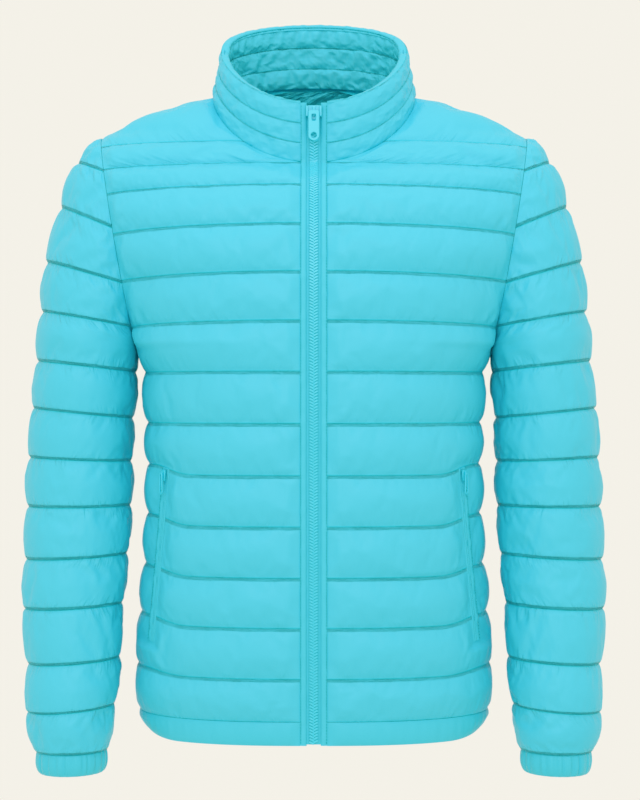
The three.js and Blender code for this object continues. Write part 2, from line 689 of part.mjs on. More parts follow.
// The slider's back face, just before the chain.
function sliderFront() {
  const rise = (SLIDER.top - NECK.zFront) / (RIM.zFront - NECK.zFront);
  const line = ringPoint(NECK, 0, 0).lerp(ringPoint(RIM, 0, 0), rise);
  return line.y + CHAIN.near - SEAM_GAP;
}

// The slider: a shield-shaped plate before the chain, wider at its top.
function zipSlider() {
  const { top, height, half, thickness } = SLIDER;
  const waist = { x: half * SLIDER.waist, z: top - height * SLIDER.waistAt };
  const foot = half * SLIDER.foot;
  const outline = new THREE.Shape();
  outline.moveTo(-half, top);
  outline.lineTo(half, top);
  outline.lineTo(waist.x, waist.z);
  outline.lineTo(foot, top - height);
  outline.lineTo(-foot, top - height);
  outline.lineTo(-waist.x, waist.z);
  outline.closePath();
  return plate(outline, thickness, sliderFront() - thickness);
}

// The pull tab: a long plate with a slot near its pin and a round eye near its end.
function zipPull() {
  const { pinZ, length, half, thickness, gap } = PULL;
  const top = pinZ + thickness / 2;
  const end = top - length;
  const outline = new THREE.Shape();
  outline.moveTo(-half, top);
  outline.lineTo(-half, end + half);
  outline.absarc(0, end + half, half, Math.PI, 2 * Math.PI, false);
  outline.lineTo(half, top);
  outline.closePath();
  const slot = new THREE.Path();
  slot.moveTo(-PULL_SLOT.half, pinZ + PULL_SLOT.top);
  slot.lineTo(PULL_SLOT.half, pinZ + PULL_SLOT.top);
  slot.lineTo(PULL_SLOT.half, pinZ + PULL_SLOT.bottom);
  slot.lineTo(-PULL_SLOT.half, pinZ + PULL_SLOT.bottom);
  slot.closePath();
  const eye = new THREE.Path();
  eye.absarc(0, end + half, PULL_EYE_RADIUS, 0, 2 * Math.PI, true);
  outline.holes.push(slot, eye);
  return plate(outline, thickness, sliderFront() - SLIDER.thickness - gap - thickness);
}

// A strip on a front panel along the pocket, made from the panel's points and moved out.
function pocketZip(sign) {
  const levels = subRows(0, BODY_ROWS.length - 1).filter(isAtPocket).map(rowHeight);
  const edge = (z, side, lift) => {
    const share = shareAtX(z, pocketX(z) + side * POCKET_HALF_WIDTH);
    const surface = (height, place) => bodyPoint(height, place, true, 0);
    const normal = outward(surface, z, share, NORMAL_STEP.height, NORMAL_STEP.share);
    if (normal.y > 0) normal.negate();
    return surface(z, share).addScaledVector(normal, lift);
  };
  const rows = (lift) => levels.map((z) => [edge(z, -1, lift), edge(z, 1, lift)]);
  const outer = rows(POCKET_ZIP.lift + POCKET_ZIP.thickness);
  const geometry = closedWall(outer, rows(POCKET_ZIP.lift), levels.map((_, i) => i));
  return mirrored(geometry, sign);
}

function pocketPlate(outline, thickness, lift) {
  const geometry = new THREE.ExtrudeGeometry(outline, {
    depth: thickness,
    bevelEnabled: false,
    curveSegments: 5,
  });
  geometry.rotateX(Math.PI / 2);
  geometry.deleteAttribute('uv');
  geometry.deleteAttribute('normal');
  const z = rowHeight(POCKET.topRow) - POCKET_SLIDER.drop;
  const share = shareAtX(z, pocketX(z));
  const surface = (height, place) => bodyPoint(height, place, true, 0);
  const normal = outward(surface, z, share, NORMAL_STEP.height, NORMAL_STEP.share);
  if (normal.y > 0) normal.negate();
  const turn = Math.atan2(normal.x, -normal.y);
  geometry.rotateZ(turn);
  const place = surface(z, share).addScaledVector(normal, lift);
  geometry.translate(place.x, place.y, place.z);
  return mergeVertices(geometry, 1e-3);
}

function pocketSlider(sign) {
  const outline = new THREE.Shape();
  const { top, bottom, halfTop, halfBottom, thickness } = POCKET_SLIDER;
  outline.moveTo(-halfBottom, bottom);
  outline.lineTo(halfBottom, bottom);
  outline.lineTo(halfTop, top);
  outline.lineTo(-halfTop, top);
  outline.closePath();
  const lift = POCKET_ZIP.lift + POCKET_ZIP.thickness + SEAM_GAP;
  return mirrored(pocketPlate(outline, thickness, lift), sign);
}

// The pocket's puller: a flat two-stranded loop that hangs from the slider.
function pocketPull(sign) {
  const outline = new THREE.Shape();
  const { top, bottom, halfTop, halfBottom, thickness } = POCKET_PULL;
  outline.moveTo(-halfTop, top);
  outline.lineTo(-halfBottom, bottom);
  outline.absarc(0, bottom, halfBottom, Math.PI, 2 * Math.PI, false);
  outline.lineTo(halfTop, top);
  outline.closePath();
  const gap = POCKET_PULL_SLOT;
  const slot = new THREE.Path();
  slot.moveTo(-gap.halfTop, gap.top);
  slot.lineTo(gap.halfTop, gap.top);
  slot.lineTo(gap.halfBottom, gap.bottom);
  slot.lineTo(-gap.halfBottom, gap.bottom);
  slot.closePath();
  outline.holes.push(slot);
  const zip = POCKET_ZIP.lift + POCKET_ZIP.thickness;
  const lift = zip + POCKET_SLIDER.thickness + 2 * SEAM_GAP;
  return mirrored(pocketPlate(outline, thickness, lift), sign);
}

const jacket = new THREE.Group();

function add(name, geometry, colour, roughness) {
  const material = new THREE.MeshStandardMaterial({ color: colour, roughness, metalness: 0 });
  const mesh = new THREE.Mesh(geometry, material);
  mesh.name = name;
  jacket.add(mesh);
}

const SIDES = [
  { name: 'left', sign: -1 },
  { name: 'right', sign: 1 },
];

const BACK_HEM_SHARES = evenShares(20, -1, 1);

SIDES.forEach(({ name, sign }) => {
  add(`front_${name}`, front(sign), COLOURS.shell, 0.55);
  add(`sleeve_${name}`, sleeve(sign), COLOURS.shell, 0.55);
  add(`cuff_${name}`, cuff(sign), COLOURS.trim, 0.6);
  add(`hem_front_${name}`, hemBand(true, evenShares(10), sign), COLOURS.trim, 0.6);
  add(`placket_${name}`, placket(sign), COLOURS.trim, 0.6);
  add(`zip_tape_${name}`, zipTape(sign), COLOURS.trim, 0.8);
  add(`pocket_zip_${name}`, pocketZip(sign), COLOURS.trim, 0.7);
  add(`pocket_slider_${name}`, pocketSlider(sign), COLOURS.zip, 0.4);
  add(`pocket_pull_${name}`, pocketPull(sign), COLOURS.zip, 0.5);
});
add('back', back(), COLOURS.shell, 0.55);
add('hem_back', hemBand(false, BACK_HEM_SHARES, 1), COLOURS.trim, 0.6);
add('collar', collar(), COLOURS.shell, 0.55);
add('collar_facing', collarFacing(), COLOURS.lining, 0.55);
add('back_neck_lining', backNeckLining(), COLOURS.lining, 0.6);
add('zip_chain', zipChain(), COLOURS.zip, 0.4);
add('zip_slider', zipSlider(), COLOURS.zip, 0.35);
add('zip_pull', zipPull(), COLOURS.zip, 0.35);

export default jacket;
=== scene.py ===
# A light quilted puffer jacket with a stand collar, dressed over its solid model. Metres. +Z is up,
# +X is the right of the front view and +Y is the back. The origin lies between the shoulders.

import math

import bmesh
import bpy
import numpy as np
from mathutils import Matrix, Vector


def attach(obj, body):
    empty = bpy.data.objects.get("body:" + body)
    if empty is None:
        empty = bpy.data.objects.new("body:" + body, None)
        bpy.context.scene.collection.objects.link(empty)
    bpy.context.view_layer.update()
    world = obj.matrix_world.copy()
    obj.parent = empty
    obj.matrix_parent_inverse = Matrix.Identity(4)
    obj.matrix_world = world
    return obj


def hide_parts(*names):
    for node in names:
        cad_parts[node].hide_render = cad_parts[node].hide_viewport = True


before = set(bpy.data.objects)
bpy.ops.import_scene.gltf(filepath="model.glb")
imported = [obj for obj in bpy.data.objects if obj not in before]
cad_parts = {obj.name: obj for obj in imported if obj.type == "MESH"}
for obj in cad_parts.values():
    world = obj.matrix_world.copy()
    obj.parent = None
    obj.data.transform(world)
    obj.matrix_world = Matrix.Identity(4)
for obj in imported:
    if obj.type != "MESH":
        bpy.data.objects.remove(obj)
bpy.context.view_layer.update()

MM = 0.001
BODY = "jacket"
PULL_BODY = "pull_tab"

# Driving sizes of the cut, and how far the padding stands up in the middle of a row
WALL = 2.6 * MM
SEAM_GAP = 0.3 * MM
HALF_GAP = SEAM_GAP / 2
BODY_PUFF = 5.2 * MM
SLEEVE_PUFF = 3.4 * MM
COLLAR_PUFF = 2.1 * MM
FACING_PUFF = 3 * MM
LINING_PUFF = 7 * MM
BODY_ROUNDNESS = 2 / 2.3
ARMHOLE_HALF_WIDTH = 185 * MM
ARMHOLE_LEAN = 0.17
ARMHOLE_HALF_DEPTH = 66 * MM
PIT_BLEND = 45 * MM
CHEST_TURN_LOSS = 0.32
CHEST_REACH = 80 * MM
SLOPE_REACH = 30 * MM
LIFT_FROM = 0.45
LIFT_SPREAD = 0.3
EDGE_X = 13.5 * MM
STRIP_X = 7 * MM
TAPE_X = 0.4 * MM
CUFF_GATHERS = 24
CUFF_HEIGHT = 22 * MM
HEM_HEIGHT = 23.5 * MM
POCKET_HALF_WIDTH = 3.6 * MM

NECK = dict(half_width=0.106, front=0.068, back=0.062, z_front=-0.066, z_side=0.009, z_back=0.033)
RIM = dict(half_width=0.097, front=0.071, back=0.060, z_front=-0.005, z_side=0.056, z_back=0.095)
RING_POWER = 1.2
RIM_BACK_POWER = 0.7
COLLAR_ROWS = (0, 0.32, 0.65, 1)

# One row for each stitch line of the body, from the hem seam up.
BODY_COLUMNS = ("z", "wide", "front", "back", "lift", "slope")
BODY_ROWS = (
    (-0.629, 0.181, 0.112, 0.104, 0.000, 0.0000),
    (-0.586, 0.183, 0.114, 0.103, 0.005, 0.0000),
    (-0.535, 0.180, 0.116, 0.101, 0.008, 0.0000),
    (-0.485, 0.176, 0.117, 0.099, 0.008, 0.0000),
    (-0.434, 0.173, 0.118, 0.099, 0.009, 0.0000),
    (-0.383, 0.172, 0.118, 0.101, 0.009, 0.0000),
    (-0.331, 0.173, 0.119, 0.104, 0.000, 0.0000),
    (-0.279, 0.176, 0.119, 0.108, 0.000, 0.0000),
    (-0.228, 0.184, 0.119, 0.111, 0.000, -0.0055),
    (-0.179, 0.185, 0.117, 0.112, 0.000, -0.0065),
    (-0.1305, 0.185, 0.109, 0.112, 0.000, -0.0080),
    (-0.090, 0.185, 0.091, 0.109, 0.000, -0.0070),
    (-0.066, 0.185, 0.068, 0.104, 0.000, -0.0050),
    (-0.042, 0.185, 0.060, 0.097, 0.000, -0.0040),
    (0.009, 0.185, 0.040, 0.0743, 0.000, 0.0000),
    (0.032, 0.185, 0.040, 0.0625, 0.000, 0.0000),
)
FRONT_TOP_ROW = 13.99
BACK_TOP_ROW = 15
PIT_ROW = 7.5
TIP_BETWEEN = (12, 14)

SHOULDER_COLUMNS = ("z", "x")
SHOULDER = ((-0.034, 0.223), (-0.015, 0.184), (-0.0045, 0.156), (0.004, 0.131), (0.009, 0.106))

# One row for each stitch line of a sleeve, from the shoulder down.
SLEEVE_COLUMNS = ("q", "x", "z", "reach", "deep", "y", "tilt")
SLEEVE_ROWS = (
    (0, 0.185, -0.0355, 0.120, 0.066, 0.000, 23),
    (1, 0.185, -0.074, 0.093, 0.066, 0.000, 23),
    (2, 0.185, -0.133, 0.0705, 0.066, 0.000, 23.5),
    (3, 0.185, -0.189, 0.061, 0.066, 0.000, 16.5),
    (4, 0.185, -0.233, 0.053, 0.066, 0.000, 10),
    (4.5, 0.1852, -0.2535, 0.0509, 0.066, 0.000, 8),
    (5, 0.1875, -0.279, 0.0506, 0.0645, 0.000, 6.4),
    (6, 0.191, -0.327, 0.0512, 0.061, -0.002, 5.8),
    (7, 0.1925, -0.372, 0.0518, 0.058, -0.004, 2.3),
    (8, 0.193, -0.418, 0.0522, 0.056, -0.008, -0.5),
    (9, 0.196, -0.468, 0.0515, 0.054, -0.013, -3),
    (10, 0.2005, -0.519, 0.0496, 0.052, -0.019, -3),
    (11, 0.2025, -0.574, 0.0464, 0.050, -0.026, -4),
    (12, 0.207, -0.622, 0.0440, 0.048, -0.033, -4.6),
    (13, 0.2132, -0.6675, 0.0365, 0.040, -0.039, -1),
)
SLEEVE_PIT = 4.5
SLEEVE_END = 13
CAP_TOP_NARROWED = 0.6
SLEEVE_RINGS = tuple(row for row in SLEEVE_ROWS if row[0] >= SLEEVE_PIT)

LINING = dict(share=0.62, bottom_row=13, inset=0.0041)
POCKET = dict(top_row=5.0, bottom_row=1.5, x_top=0.150, x_bottom=0.167)

# How each kind of cloth puffs: its growth, the unevenness of its rows, the height of its creases,
# how much stronger they are at its ends, and the pressure of its padding.
FRONT_CLOTH = dict(growth=0.012, uneven=0.08, crease=0.0002, at_ends=2.5, pressure=3.0)
BACK_CLOTH = dict(growth=0.015, uneven=0.10, crease=0.0003, at_ends=1.5, pressure=3.5)
SLEEVE_CLOTH = dict(growth=0.030, uneven=0.10, crease=0.0004, at_ends=2.5, pressure=4.5)
COLLAR_CLOTH = dict(growth=0.015, uneven=0.10, crease=0.0003, at_ends=0.5, pressure=3.0)
INSIDE_CLOTH = dict(growth=0.075, uneven=0.25, crease=0.0008, at_ends=0.0, pressure=4.0)
CLOTH = dict(frames=16, cap=0.006)
CLOTH_SETTINGS = dict(
    pin_stiffness=1, quality=4, tension_stiffness=20, compression_stiffness=20, shear_stiffness=8,
    bending_stiffness=0.02, tension_damping=8, compression_damping=8, air_damping=3, mass=0.15,
    use_pressure=True,
)
HELD_PUFF = 0.2 * MM
LINE_SHARPNESS = 0.85
CREASE_PITCHES = (0.007, 0.011, 0.017, 0.026)
NORMAL_SPREAD = (-0.012, -0.006, 0.0, 0.006, 0.012)

# How finely the cloth is meshed: rows of mesh in a quilted row, and columns across each panel
ROW_STEPS = 14
LINING_STEPS = 28
INSIDE_STEP = 7
MESH_COLUMNS = dict(front=64, half_back=57, sleeve=99, collar=190, lining=99)
ROW_HEIGHT = 50 * MM
FAR_FROM_LINE = 20 * MM

# How far from a side seam, a front edge or a pocket the padding reaches its full height, and how
# much of it is left on a seam that padding runs across
SIDE_REACH = 14 * MM
EDGE_REACH = 12 * MM
GATHER_REACH = 45 * MM
SIDE_SEAM_PUFF = 0.45
SLEEVE_SEAM_PUFF = 0.75

# One stitch: its length, half its thickness and the step from one to the next
QUILT_STITCH = dict(length=0.0025, thick=0.0002, pitch=0.0035)
TOP_STITCH = dict(length=0.0023, thick=0.0004, pitch=0.0030)

SHARP_ANGLE = math.radians(50)
TINY = 1e-12


def smooth(value):
    t = np.clip(value, 0, 1)
    return t * t * (3 - 2 * t)


def unit(vectors):
    return vectors / np.maximum(np.linalg.norm(vectors, axis=-1, keepdims=True), TINY)


def run_length(points):
    """How many metres lie along a line, or along each line of a grid, up to each of its points."""
    steps = np.diff(points, axis=-2, prepend=points[..., :1, :])
    return np.cumsum(np.linalg.norm(steps, axis=-1), axis=-1)


def ripples(metres, seed, pitches):
    """Fine seeded waves along an edge, one for each pitch."""
    random = np.random.default_rng(seed)
    return sum(np.sin(metres * 2 * math.pi / pitch + random.uniform(0, 6)) for pitch in pitches)


def column(rows, names, name):
    place = names.index(name)
    return np.array([row[place] for row in rows], dtype=float)


def curve(keys, values, at):
    """A smooth curve through a table's values, read at any place between its keys."""
    at = np.asarray(at, dtype=float)
    if keys[-1] < keys[0]:
        keys, values = keys[::-1], values[::-1]
    last = len(keys) - 1
    i = np.clip(np.searchsorted(keys, at, side="right") - 1, 0, last - 1)
    low = np.maximum(np.arange(last + 1) - 1, 0)
    high = np.minimum(np.arange(last + 1) + 1, last)
    slope = (values[high] - values[low]) / (keys[high] - keys[low])
    span = keys[i + 1] - keys[i]
    t = np.clip((at - keys[i]) / span, 0, 1)
    leave = (t**3 - 2 * t**2 + t) * slope[i] * span
    arrive = (t**3 - t**2) * slope[i + 1] * span
    return values[i] + (values[i + 1] - values[i]) * (t * t * (3 - 2 * t)) + leave + arrive


def read_table(rows, names, at):
    """All columns of a table, each read on its curve at places of the first column."""
    keys = column(rows, names, names[0])
    return {name: curve(keys, column(rows, names, name), at) for name in names}


BODY_Z = column(BODY_ROWS, BODY_COLUMNS, "z")


def body_column(name, z):
    return curve(BODY_Z, column(BODY_ROWS, BODY_COLUMNS, name), z)


def row_height(q):
    return np.interp(q, np.arange(len(BODY_Z)), BODY_Z)


POCKET_TOP = float(row_height(POCKET["top_row"]))
POCKET_BOTTOM = float(row_height(POCKET["bottom_row"]))
PIT_Z = float(row_height(PIT_ROW))
TIP_Z = SHOULDER[0][0]
ARMHOLE_Z = (PIT_Z + TIP_Z) / 2
ARMHOLE_HALF_LENGTH = (TIP_Z - PIT_Z) / 2


def armhole_x(z):
    return ARMHOLE_HALF_WIDTH + ARMHOLE_LEAN * np.maximum(0, z - PIT_Z)


def armhole_y(z, inset):
    along = (z - ARMHOLE_Z) / (ARMHOLE_HALF_LENGTH - inset)
    return (ARMHOLE_HALF_DEPTH - inset) * np.sqrt(np.maximum(0, 1 - along * along))


def ring_point(ring, angle, inset):
    """A point of the neckline or of the collar's rim, at an angle from the front centre."""
    ahead = np.cos(angle)
    power = np.where((ahead < 0) & (ring is RIM), RIM_BACK_POWER, RING_POWER)
    side = np.abs(ahead) ** power
    x = (ring["half_width"] - inset) * np.sin(angle)
    depth = np.where(ahead > 0, ring["front"], ring["back"]) - inset
    end = np.where(ahead > 0, ring["z_front"], ring["z_back"])
    return np.stack([x, -depth * ahead, ring["z_side"] + (end - ring["z_side"]) * side], axis=-1)


def neck_crossing(z, is_front, inset):
    end = NECK["z_front"] if is_front else NECK["z_back"]
    side = np.clip((z + inset - NECK["z_side"]) / (end - NECK["z_side"]), 0, 1)
    ahead = side ** (1 / RING_POWER)
    depth = NECK["front"] if is_front else NECK["back"]
    return (NECK["half_width"] - inset) * np.sqrt(1 - ahead * ahead), (depth - inset) * ahead


def row_ends(z, is_front, inset):
    """The two ends of a level line across half of the front or back, and how far it turns."""
    neck_z = NECK["z_front"] - inset if is_front else NECK["z_side"] - inset
    neck_x, neck_y = neck_crossing(z, is_front, inset)
    above = z > neck_z
    inner_x = np.full_like(z, EDGE_X if is_front else 0)
    inner_y = body_column("front" if is_front else "back", z) - inset
    if is_front:
        use = above & (neck_x > EDGE_X)
        inner_x = np.where(use, neck_x, inner_x)
        inner_y = np.where(use, neck_y, inner_y)
    outer_x = body_column("wide", z) - inset
    outer_y = np.zeros_like(z)
    cut = z > PIT_Z
    outer_x = np.where(cut, armhole_x(z), outer_x)
    outer_y = np.where(cut, armhole_y(z, inset), outer_y)
    top = z > TIP_Z - inset
    heights = column(SHOULDER, SHOULDER_COLUMNS, "z")
    widths = column(SHOULDER, SHOULDER_COLUMNS, "x")
    outer_x = np.where(top, curve(heights, widths, z + inset), outer_x)
    outer_y = np.where(top, 0, outer_y)
    if not is_front:
        outer_x = np.where(above, neck_x, outer_x)
        outer_y = np.where(above, neck_y, outer_y)
    turn = (math.pi / 2) * (1 - CHEST_TURN_LOSS * smooth((z - PIT_Z) / CHEST_REACH))
    return inner_x, inner_y, outer_x, outer_y, turn


def line_level(z, share):
    """The height that a stitch line has reached at a share of the way to the side."""
    slope = np.interp(z, BODY_Z, column(BODY_ROWS, BODY_COLUMNS, "slope"))
    lift = body_column("lift", z) * smooth((share - LIFT_FROM) / LIFT_SPREAD)
    return z + lift + slope * smooth((z - PIT_Z) / SLOPE_REACH) * share**1.5


def side_depth(level, share, seam_depth, inset):
    """How far forward or back a line's outer end is taken to be, smooth past the armpit."""
    rise = (level - PIT_Z + PIT_BLEND) / (ARMHOLE_HALF_LENGTH + PIT_BLEND)
    easy = (ARMHOLE_HALF_DEPTH - inset) * smooth(rise)
    return np.where(level > ARMHOLE_Z, seam_depth, easy + (seam_depth - easy) * share**8)


def body_point(z, share, is_front, inset=0.0):
    """Points of the body at a share of the way from the centre to the side."""
    z, share = np.broadcast_arrays(np.asarray(z, dtype=float), np.asarray(share, dtype=float))
    level = line_level(z, share)
    inner_x, inner_y, outer_x, outer_y, turn = row_ends(level, is_front, inset)
    angle = share * turn
    out = (np.sin(angle) / np.sin(turn)) ** BODY_ROUNDNESS
    end = np.maximum(np.cos(turn), 0) ** BODY_ROUNDNESS
    ahead = (np.maximum(np.cos(angle), 0) ** BODY_ROUNDNESS - end) / (1 - end)
    x = inner_x + (outer_x - inner_x) * out
    side = side_depth(level, share, outer_y, inset)
    y = side + (inner_y - side) * ahead
    return np.stack([x, -y if is_front else y, level], axis=-1)


def share_at_x(z, x):
    inner_x, _, outer_x, _, turn = row_ends(np.asarray(z, dtype=float), True, 0)
    out = np.maximum(0, (x - inner_x) / (outer_x - inner_x)) ** (1 / BODY_ROUNDNESS)
    return np.arcsin(np.minimum(1, out * np.sin(turn))) / turn


def pocket_x(z):
    down = np.clip((POCKET_TOP - z) / (POCKET_TOP - POCKET_BOTTOM), 0, 1)
    return POCKET["x_top"] + (POCKET["x_bottom"] - POCKET["x_top"]) * down


def sleeve_point(q, share, inset=0.0):
    """Points of the sleeve on row q, at a share of the way round from the inner side."""
    q, share = np.broadcast_arrays(np.asarray(q, dtype=float), np.asarray(share, dtype=float))
    read = read_table(SLEEVE_ROWS, SLEEVE_COLUMNS, q)
    ring = read_table(SLEEVE_RINGS, SLEEVE_COLUMNS, q)
    tilt = np.radians(read["tilt"])
    is_ring = q > SLEEVE_PIT
    seen = np.clip((ARMHOLE_Z - read["z"]) / ARMHOLE_HALF_LENGTH, -1, 1)
    seen = np.where(q >= SLEEVE_PIT, 1, seen)
    level = ARMHOLE_Z - seen * (ARMHOLE_HALF_LENGTH - inset)
    start_x = np.where(is_ring, ring["x"] + inset * np.cos(tilt), armhole_x(level))
    start_z = np.where(is_ring, read["z"] + inset * np.sin(tilt), level)
    size = read["reach"] - inset * np.where(is_ring, 1, np.minimum(1 / (1 + seen), 1.4))
    deep = np.where(is_ring, ring["deep"], ARMHOLE_HALF_DEPTH) - inset
    bend = np.where(is_ring, ring["y"], 0)
    half_turn = np.where(q >= SLEEVE_PIT, math.pi, math.pi - np.arccos(seen))
    angle = (2 * share - 1) * half_turn
    out = size * (np.cos(angle) + seen)
    x = start_x + out * np.cos(tilt)
    z = start_z + out * np.sin(tilt)
    return np.stack([x, deep * np.sin(angle) + bend, z], axis=-1)


def clear_of_edge(point, angle):
    """Keeps the collar's front ends level with the fronts' edges."""
    edge = np.sign(np.sin(angle)) * np.maximum(EDGE_X, np.abs(point[..., 0]))
    point[..., 0] = np.where(np.cos(angle) > 0, edge, point[..., 0])
    return point


def collar_point(angle, rise, inset=0.0):
    angle, rise = np.broadcast_arrays(np.asarray(angle, dtype=float), np.asarray(rise, dtype=float))
    low = ring_point(NECK, angle, inset)
    high = ring_point(RIM, angle, inset)
    low[..., 2] += SEAM_GAP - inset
    return clear_of_edge(low + (high - low) * rise[..., None], angle)


def outward(surface, a, b, step_a, step_b):
    """The unit normals of a surface given as a function of two places."""
    along_a = surface(a + step_a, b) - surface(a - step_a, b)
    along_b = surface(a, b + step_b) - surface(a, b - step_b)
    return unit(np.cross(along_a, along_b))


def puff_shape(q):
    return np.sin(math.pi * (q - np.floor(q))) ** 0.7


def row_places(first, last, steps):
    """Evenly spaced rows of the mesh, with one on each stitch line."""
    whole = np.arange(first, last - 0.25 / steps, 1 / steps)
    return np.round(np.append(whole, last), 6)


# Meshes

def grid_faces(rows, columns, wraps=False):
    r, c = np.meshgrid(np.arange(rows - 1), np.arange(columns if wraps else columns - 1), indexing="ij")
    right = (c + 1) % columns
    a = r * columns + c
    b = r * columns + right
    return np.stack([a, b, b + columns, a + columns], axis=-1).reshape(-1, 4)


def new_object(name, data):
    made = bpy.data.objects.new(name, data)
    bpy.context.scene.collection.objects.link(made)
    return made


def mesh_object(name, points, faces, is_smooth=True):
    mesh = bpy.data.meshes.new(name)
    mesh.from_pydata(np.asarray(points).reshape(-1, 3).tolist(), [], [list(face) for face in faces])
    mesh.update()
    if is_smooth:
        mesh.shade_smooth()
    return new_object(name, mesh)


def give_attribute(piece, name, values, kind="FLOAT", field="value", domain="POINT"):
    layer = piece.data.attributes.new(name, kind, domain)
    layer.data.foreach_set(field, np.asarray(values, dtype=np.float32).ravel())


def read_points(piece):
    points = np.empty(len(piece.data.vertices) * 3, dtype=np.float32)
    piece.data.vertices.foreach_get("co", points)
    return points.reshape(-1, 3)


def write_points(piece, points):
    piece.data.vertices.foreach_set("co", np.asarray(points, dtype=np.float32).ravel())
    piece.data.update()


def add_cloth(piece, pinned, growth, pressure):
    """Blender's cloth, held along the stitch lines, grown a little so that it puffs and puckers."""
    group = piece.vertex_groups.new(name="stitched")
    weights = np.asarray(pinned).ravel()
    for index in np.nonzero(weights > 0)[0]:
        group.add([int(index)], float(weights[index]), "REPLACE")
    cloth = piece.modifiers.new("cloth", "CLOTH")
    settings = cloth.settings
    settings.vertex_group_mass = "stitched"
    for name, value in CLOTH_SETTINGS.items():
        setattr(settings, name, value)
    settings.shrink_min = -growth
    settings.uniform_pressure_force = pressure
    settings.effector_weights.gravity = 0.0
    cloth.collision_settings.use_collision = False
    cloth.point_cache.frame_start = 1
    cloth.point_cache.frame_end = CLOTH["frames"]


def run_cloth(pieces):
    """Steps every piece's cloth together, then keeps the result, capped, as plain mesh points."""
    scene = bpy.context.scene
    for number in range(1, CLOTH["frames"] + 1):
        scene.frame_set(number)
    graph = bpy.context.evaluated_depsgraph_get()
    for piece in pieces:
        rest = read_points(piece)
        result = piece.evaluated_get(graph).to_mesh()
        points = np.empty(len(result.vertices) * 3, dtype=np.float32)
        result.vertices.foreach_get("co", points)
        piece.evaluated_get(graph).to_mesh_clear()
        moved = points.reshape(-1, 3) - rest
        length = np.linalg.norm(moved, axis=1, keepdims=True)
        share = np.minimum(1, CLOTH["cap"] / np.maximum(length, TINY))
        piece.modifiers.clear()
        piece.vertex_groups.clear()
        write_points(piece, rest + moved * share)
    scene.frame_set(1)


# Quilted panels

def wander(rows, shares, seed, waves=5, low=1.5, high=7.0):
    """Smooth seeded unevenness, different on each quilted row and within about -1 to 1."""
    random = np.random.default_rng(seed)
    count = int(rows.max()) + 2
    total = np.zeros_like(rows)
    cell = np.floor(rows).astype(int)
    for _ in range(waves):
        rate = np.round(random.uniform(low, high, count))
        phase = random.uniform(0, 2 * math.pi, count)
        total += np.sin(rate[cell] * 2 * math.pi * shares + phase[cell])
    return total / (waves * 0.7)


def pucker(rows, metres, seed, height):
    """Fine creases across the row, strongest just above each stitch line and fading upward."""
    part = rows - np.floor(rows)
    random = np.random.default_rng(seed)
    count = int(rows.max()) + 2
    cell = np.floor(rows).astype(int)
    total = np.zeros_like(rows)
    for pitch in CREASE_PITCHES:
        lean = random.uniform(-0.5, 0.5, count)
        phase = random.uniform(0, 2 * math.pi, count)
        beat = random.uniform(0.6, 1.5, count)
        place = metres + lean[cell] * part * 0.05
        gate = 0.5 + 0.5 * np.sin(place * 2 * math.pi / (pitch * 4.3) * beat[cell] + 2 * phase[cell])
        total += gate * np.sin(place * 2 * math.pi / pitch + phase[cell])
    near_low = np.exp(-((part - 0.16) / 0.15) ** 2)
    near_high = 0.55 * np.exp(-((part - 0.86) / 0.12) ** 2)
    return height * total * (near_low + near_high) * np.minimum(1, np.minimum(part, 1 - part) / 0.06)


def quilt(
    name, grid, surface, normal_at, inside_at, height, seed, feel,
    clamp=lambda points: points, normals=None, held_from=math.inf,
):
    """One quilted cloth face: its start shape, its held points and the cloth that puffs it.

    grid holds the row and the place across of each point of its mesh. surface, normal_at and
    inside_at give the panel's face, its direction and its inner face at any such place. clamp
    keeps points within the seams, and the rows from held_from up are held as well as the lines.
    """
    rows, places = grid
    if normals is None:
        normals = normal_at(rows, places)
    base = surface(rows, places)
    metres = run_length(base)
    uneven = 1 + feel["uneven"] * wander(rows, places, seed)
    to_end = np.minimum(metres, metres[:, -1:] - metres)
    gathered = 1 + feel["at_ends"] * np.exp(-((to_end / GATHER_REACH) ** 2))
    creases = pucker(rows, metres, seed + 1, feel["crease"]) * smooth(to_end / EDGE_REACH) * gathered
    lift = height * uneven + creases * (height > 0)
    faces = grid_faces(*rows.shape)
    piece = mesh_object(name, clamp(base + normals * lift[..., None]), faces)
    face = piece.data.polygons[len(faces) // 2 + rows.shape[1] // 2]
    if np.dot(np.array(face.normal), normals.reshape(-1, 3)[face.vertices[0]]) < 0:
        piece.data.flip_normals()
    part = rows - np.floor(rows)
    give_attribute(piece, "from_line", np.minimum(part, 1 - part) * ROW_HEIGHT)
    cell = np.floor(rows)
    lean = 0.02 * np.sin(cell * 2.3 + seed)
    quilt_place = np.stack([metres + lean * part, 0.37 * cell, 0.012 * part], axis=-1)
    give_attribute(piece, "quilt_place", quilt_place, "FLOAT_VECTOR", "vector")
    held = (height < HELD_PUFF) | (rows >= held_from)
    held[[0, -1]] = True
    held[:, [0, -1]] = True
    add_cloth(piece, held.astype(float), feel["growth"], feel["pressure"])
    return dict(name=name, piece=piece, rows=rows, places=places, surface=surface,
                normal_at=normal_at, inside_at=inside_at, clamp=clamp)


def crease_rows(piece, rows):
    """Keeps the stitch lines sharp when the mesh is smoothed."""
    is_line = np.isclose(rows, np.round(rows)).ravel()
    count = len(piece.data.edges)
    ends = np.empty(count * 2, dtype=np.int32)
    piece.data.edges.foreach_get("vertices", ends)
    ends = ends.reshape(-1, 2)
    along = np.abs(ends[:, 0] - ends[:, 1]) == 1
    sharp = along & is_line[ends[:, 0]] & is_line[ends[:, 1]]
    give_attribute(piece, "crease_edge", np.where(sharp, LINE_SHARPNESS, 0.0), domain="EDGE")


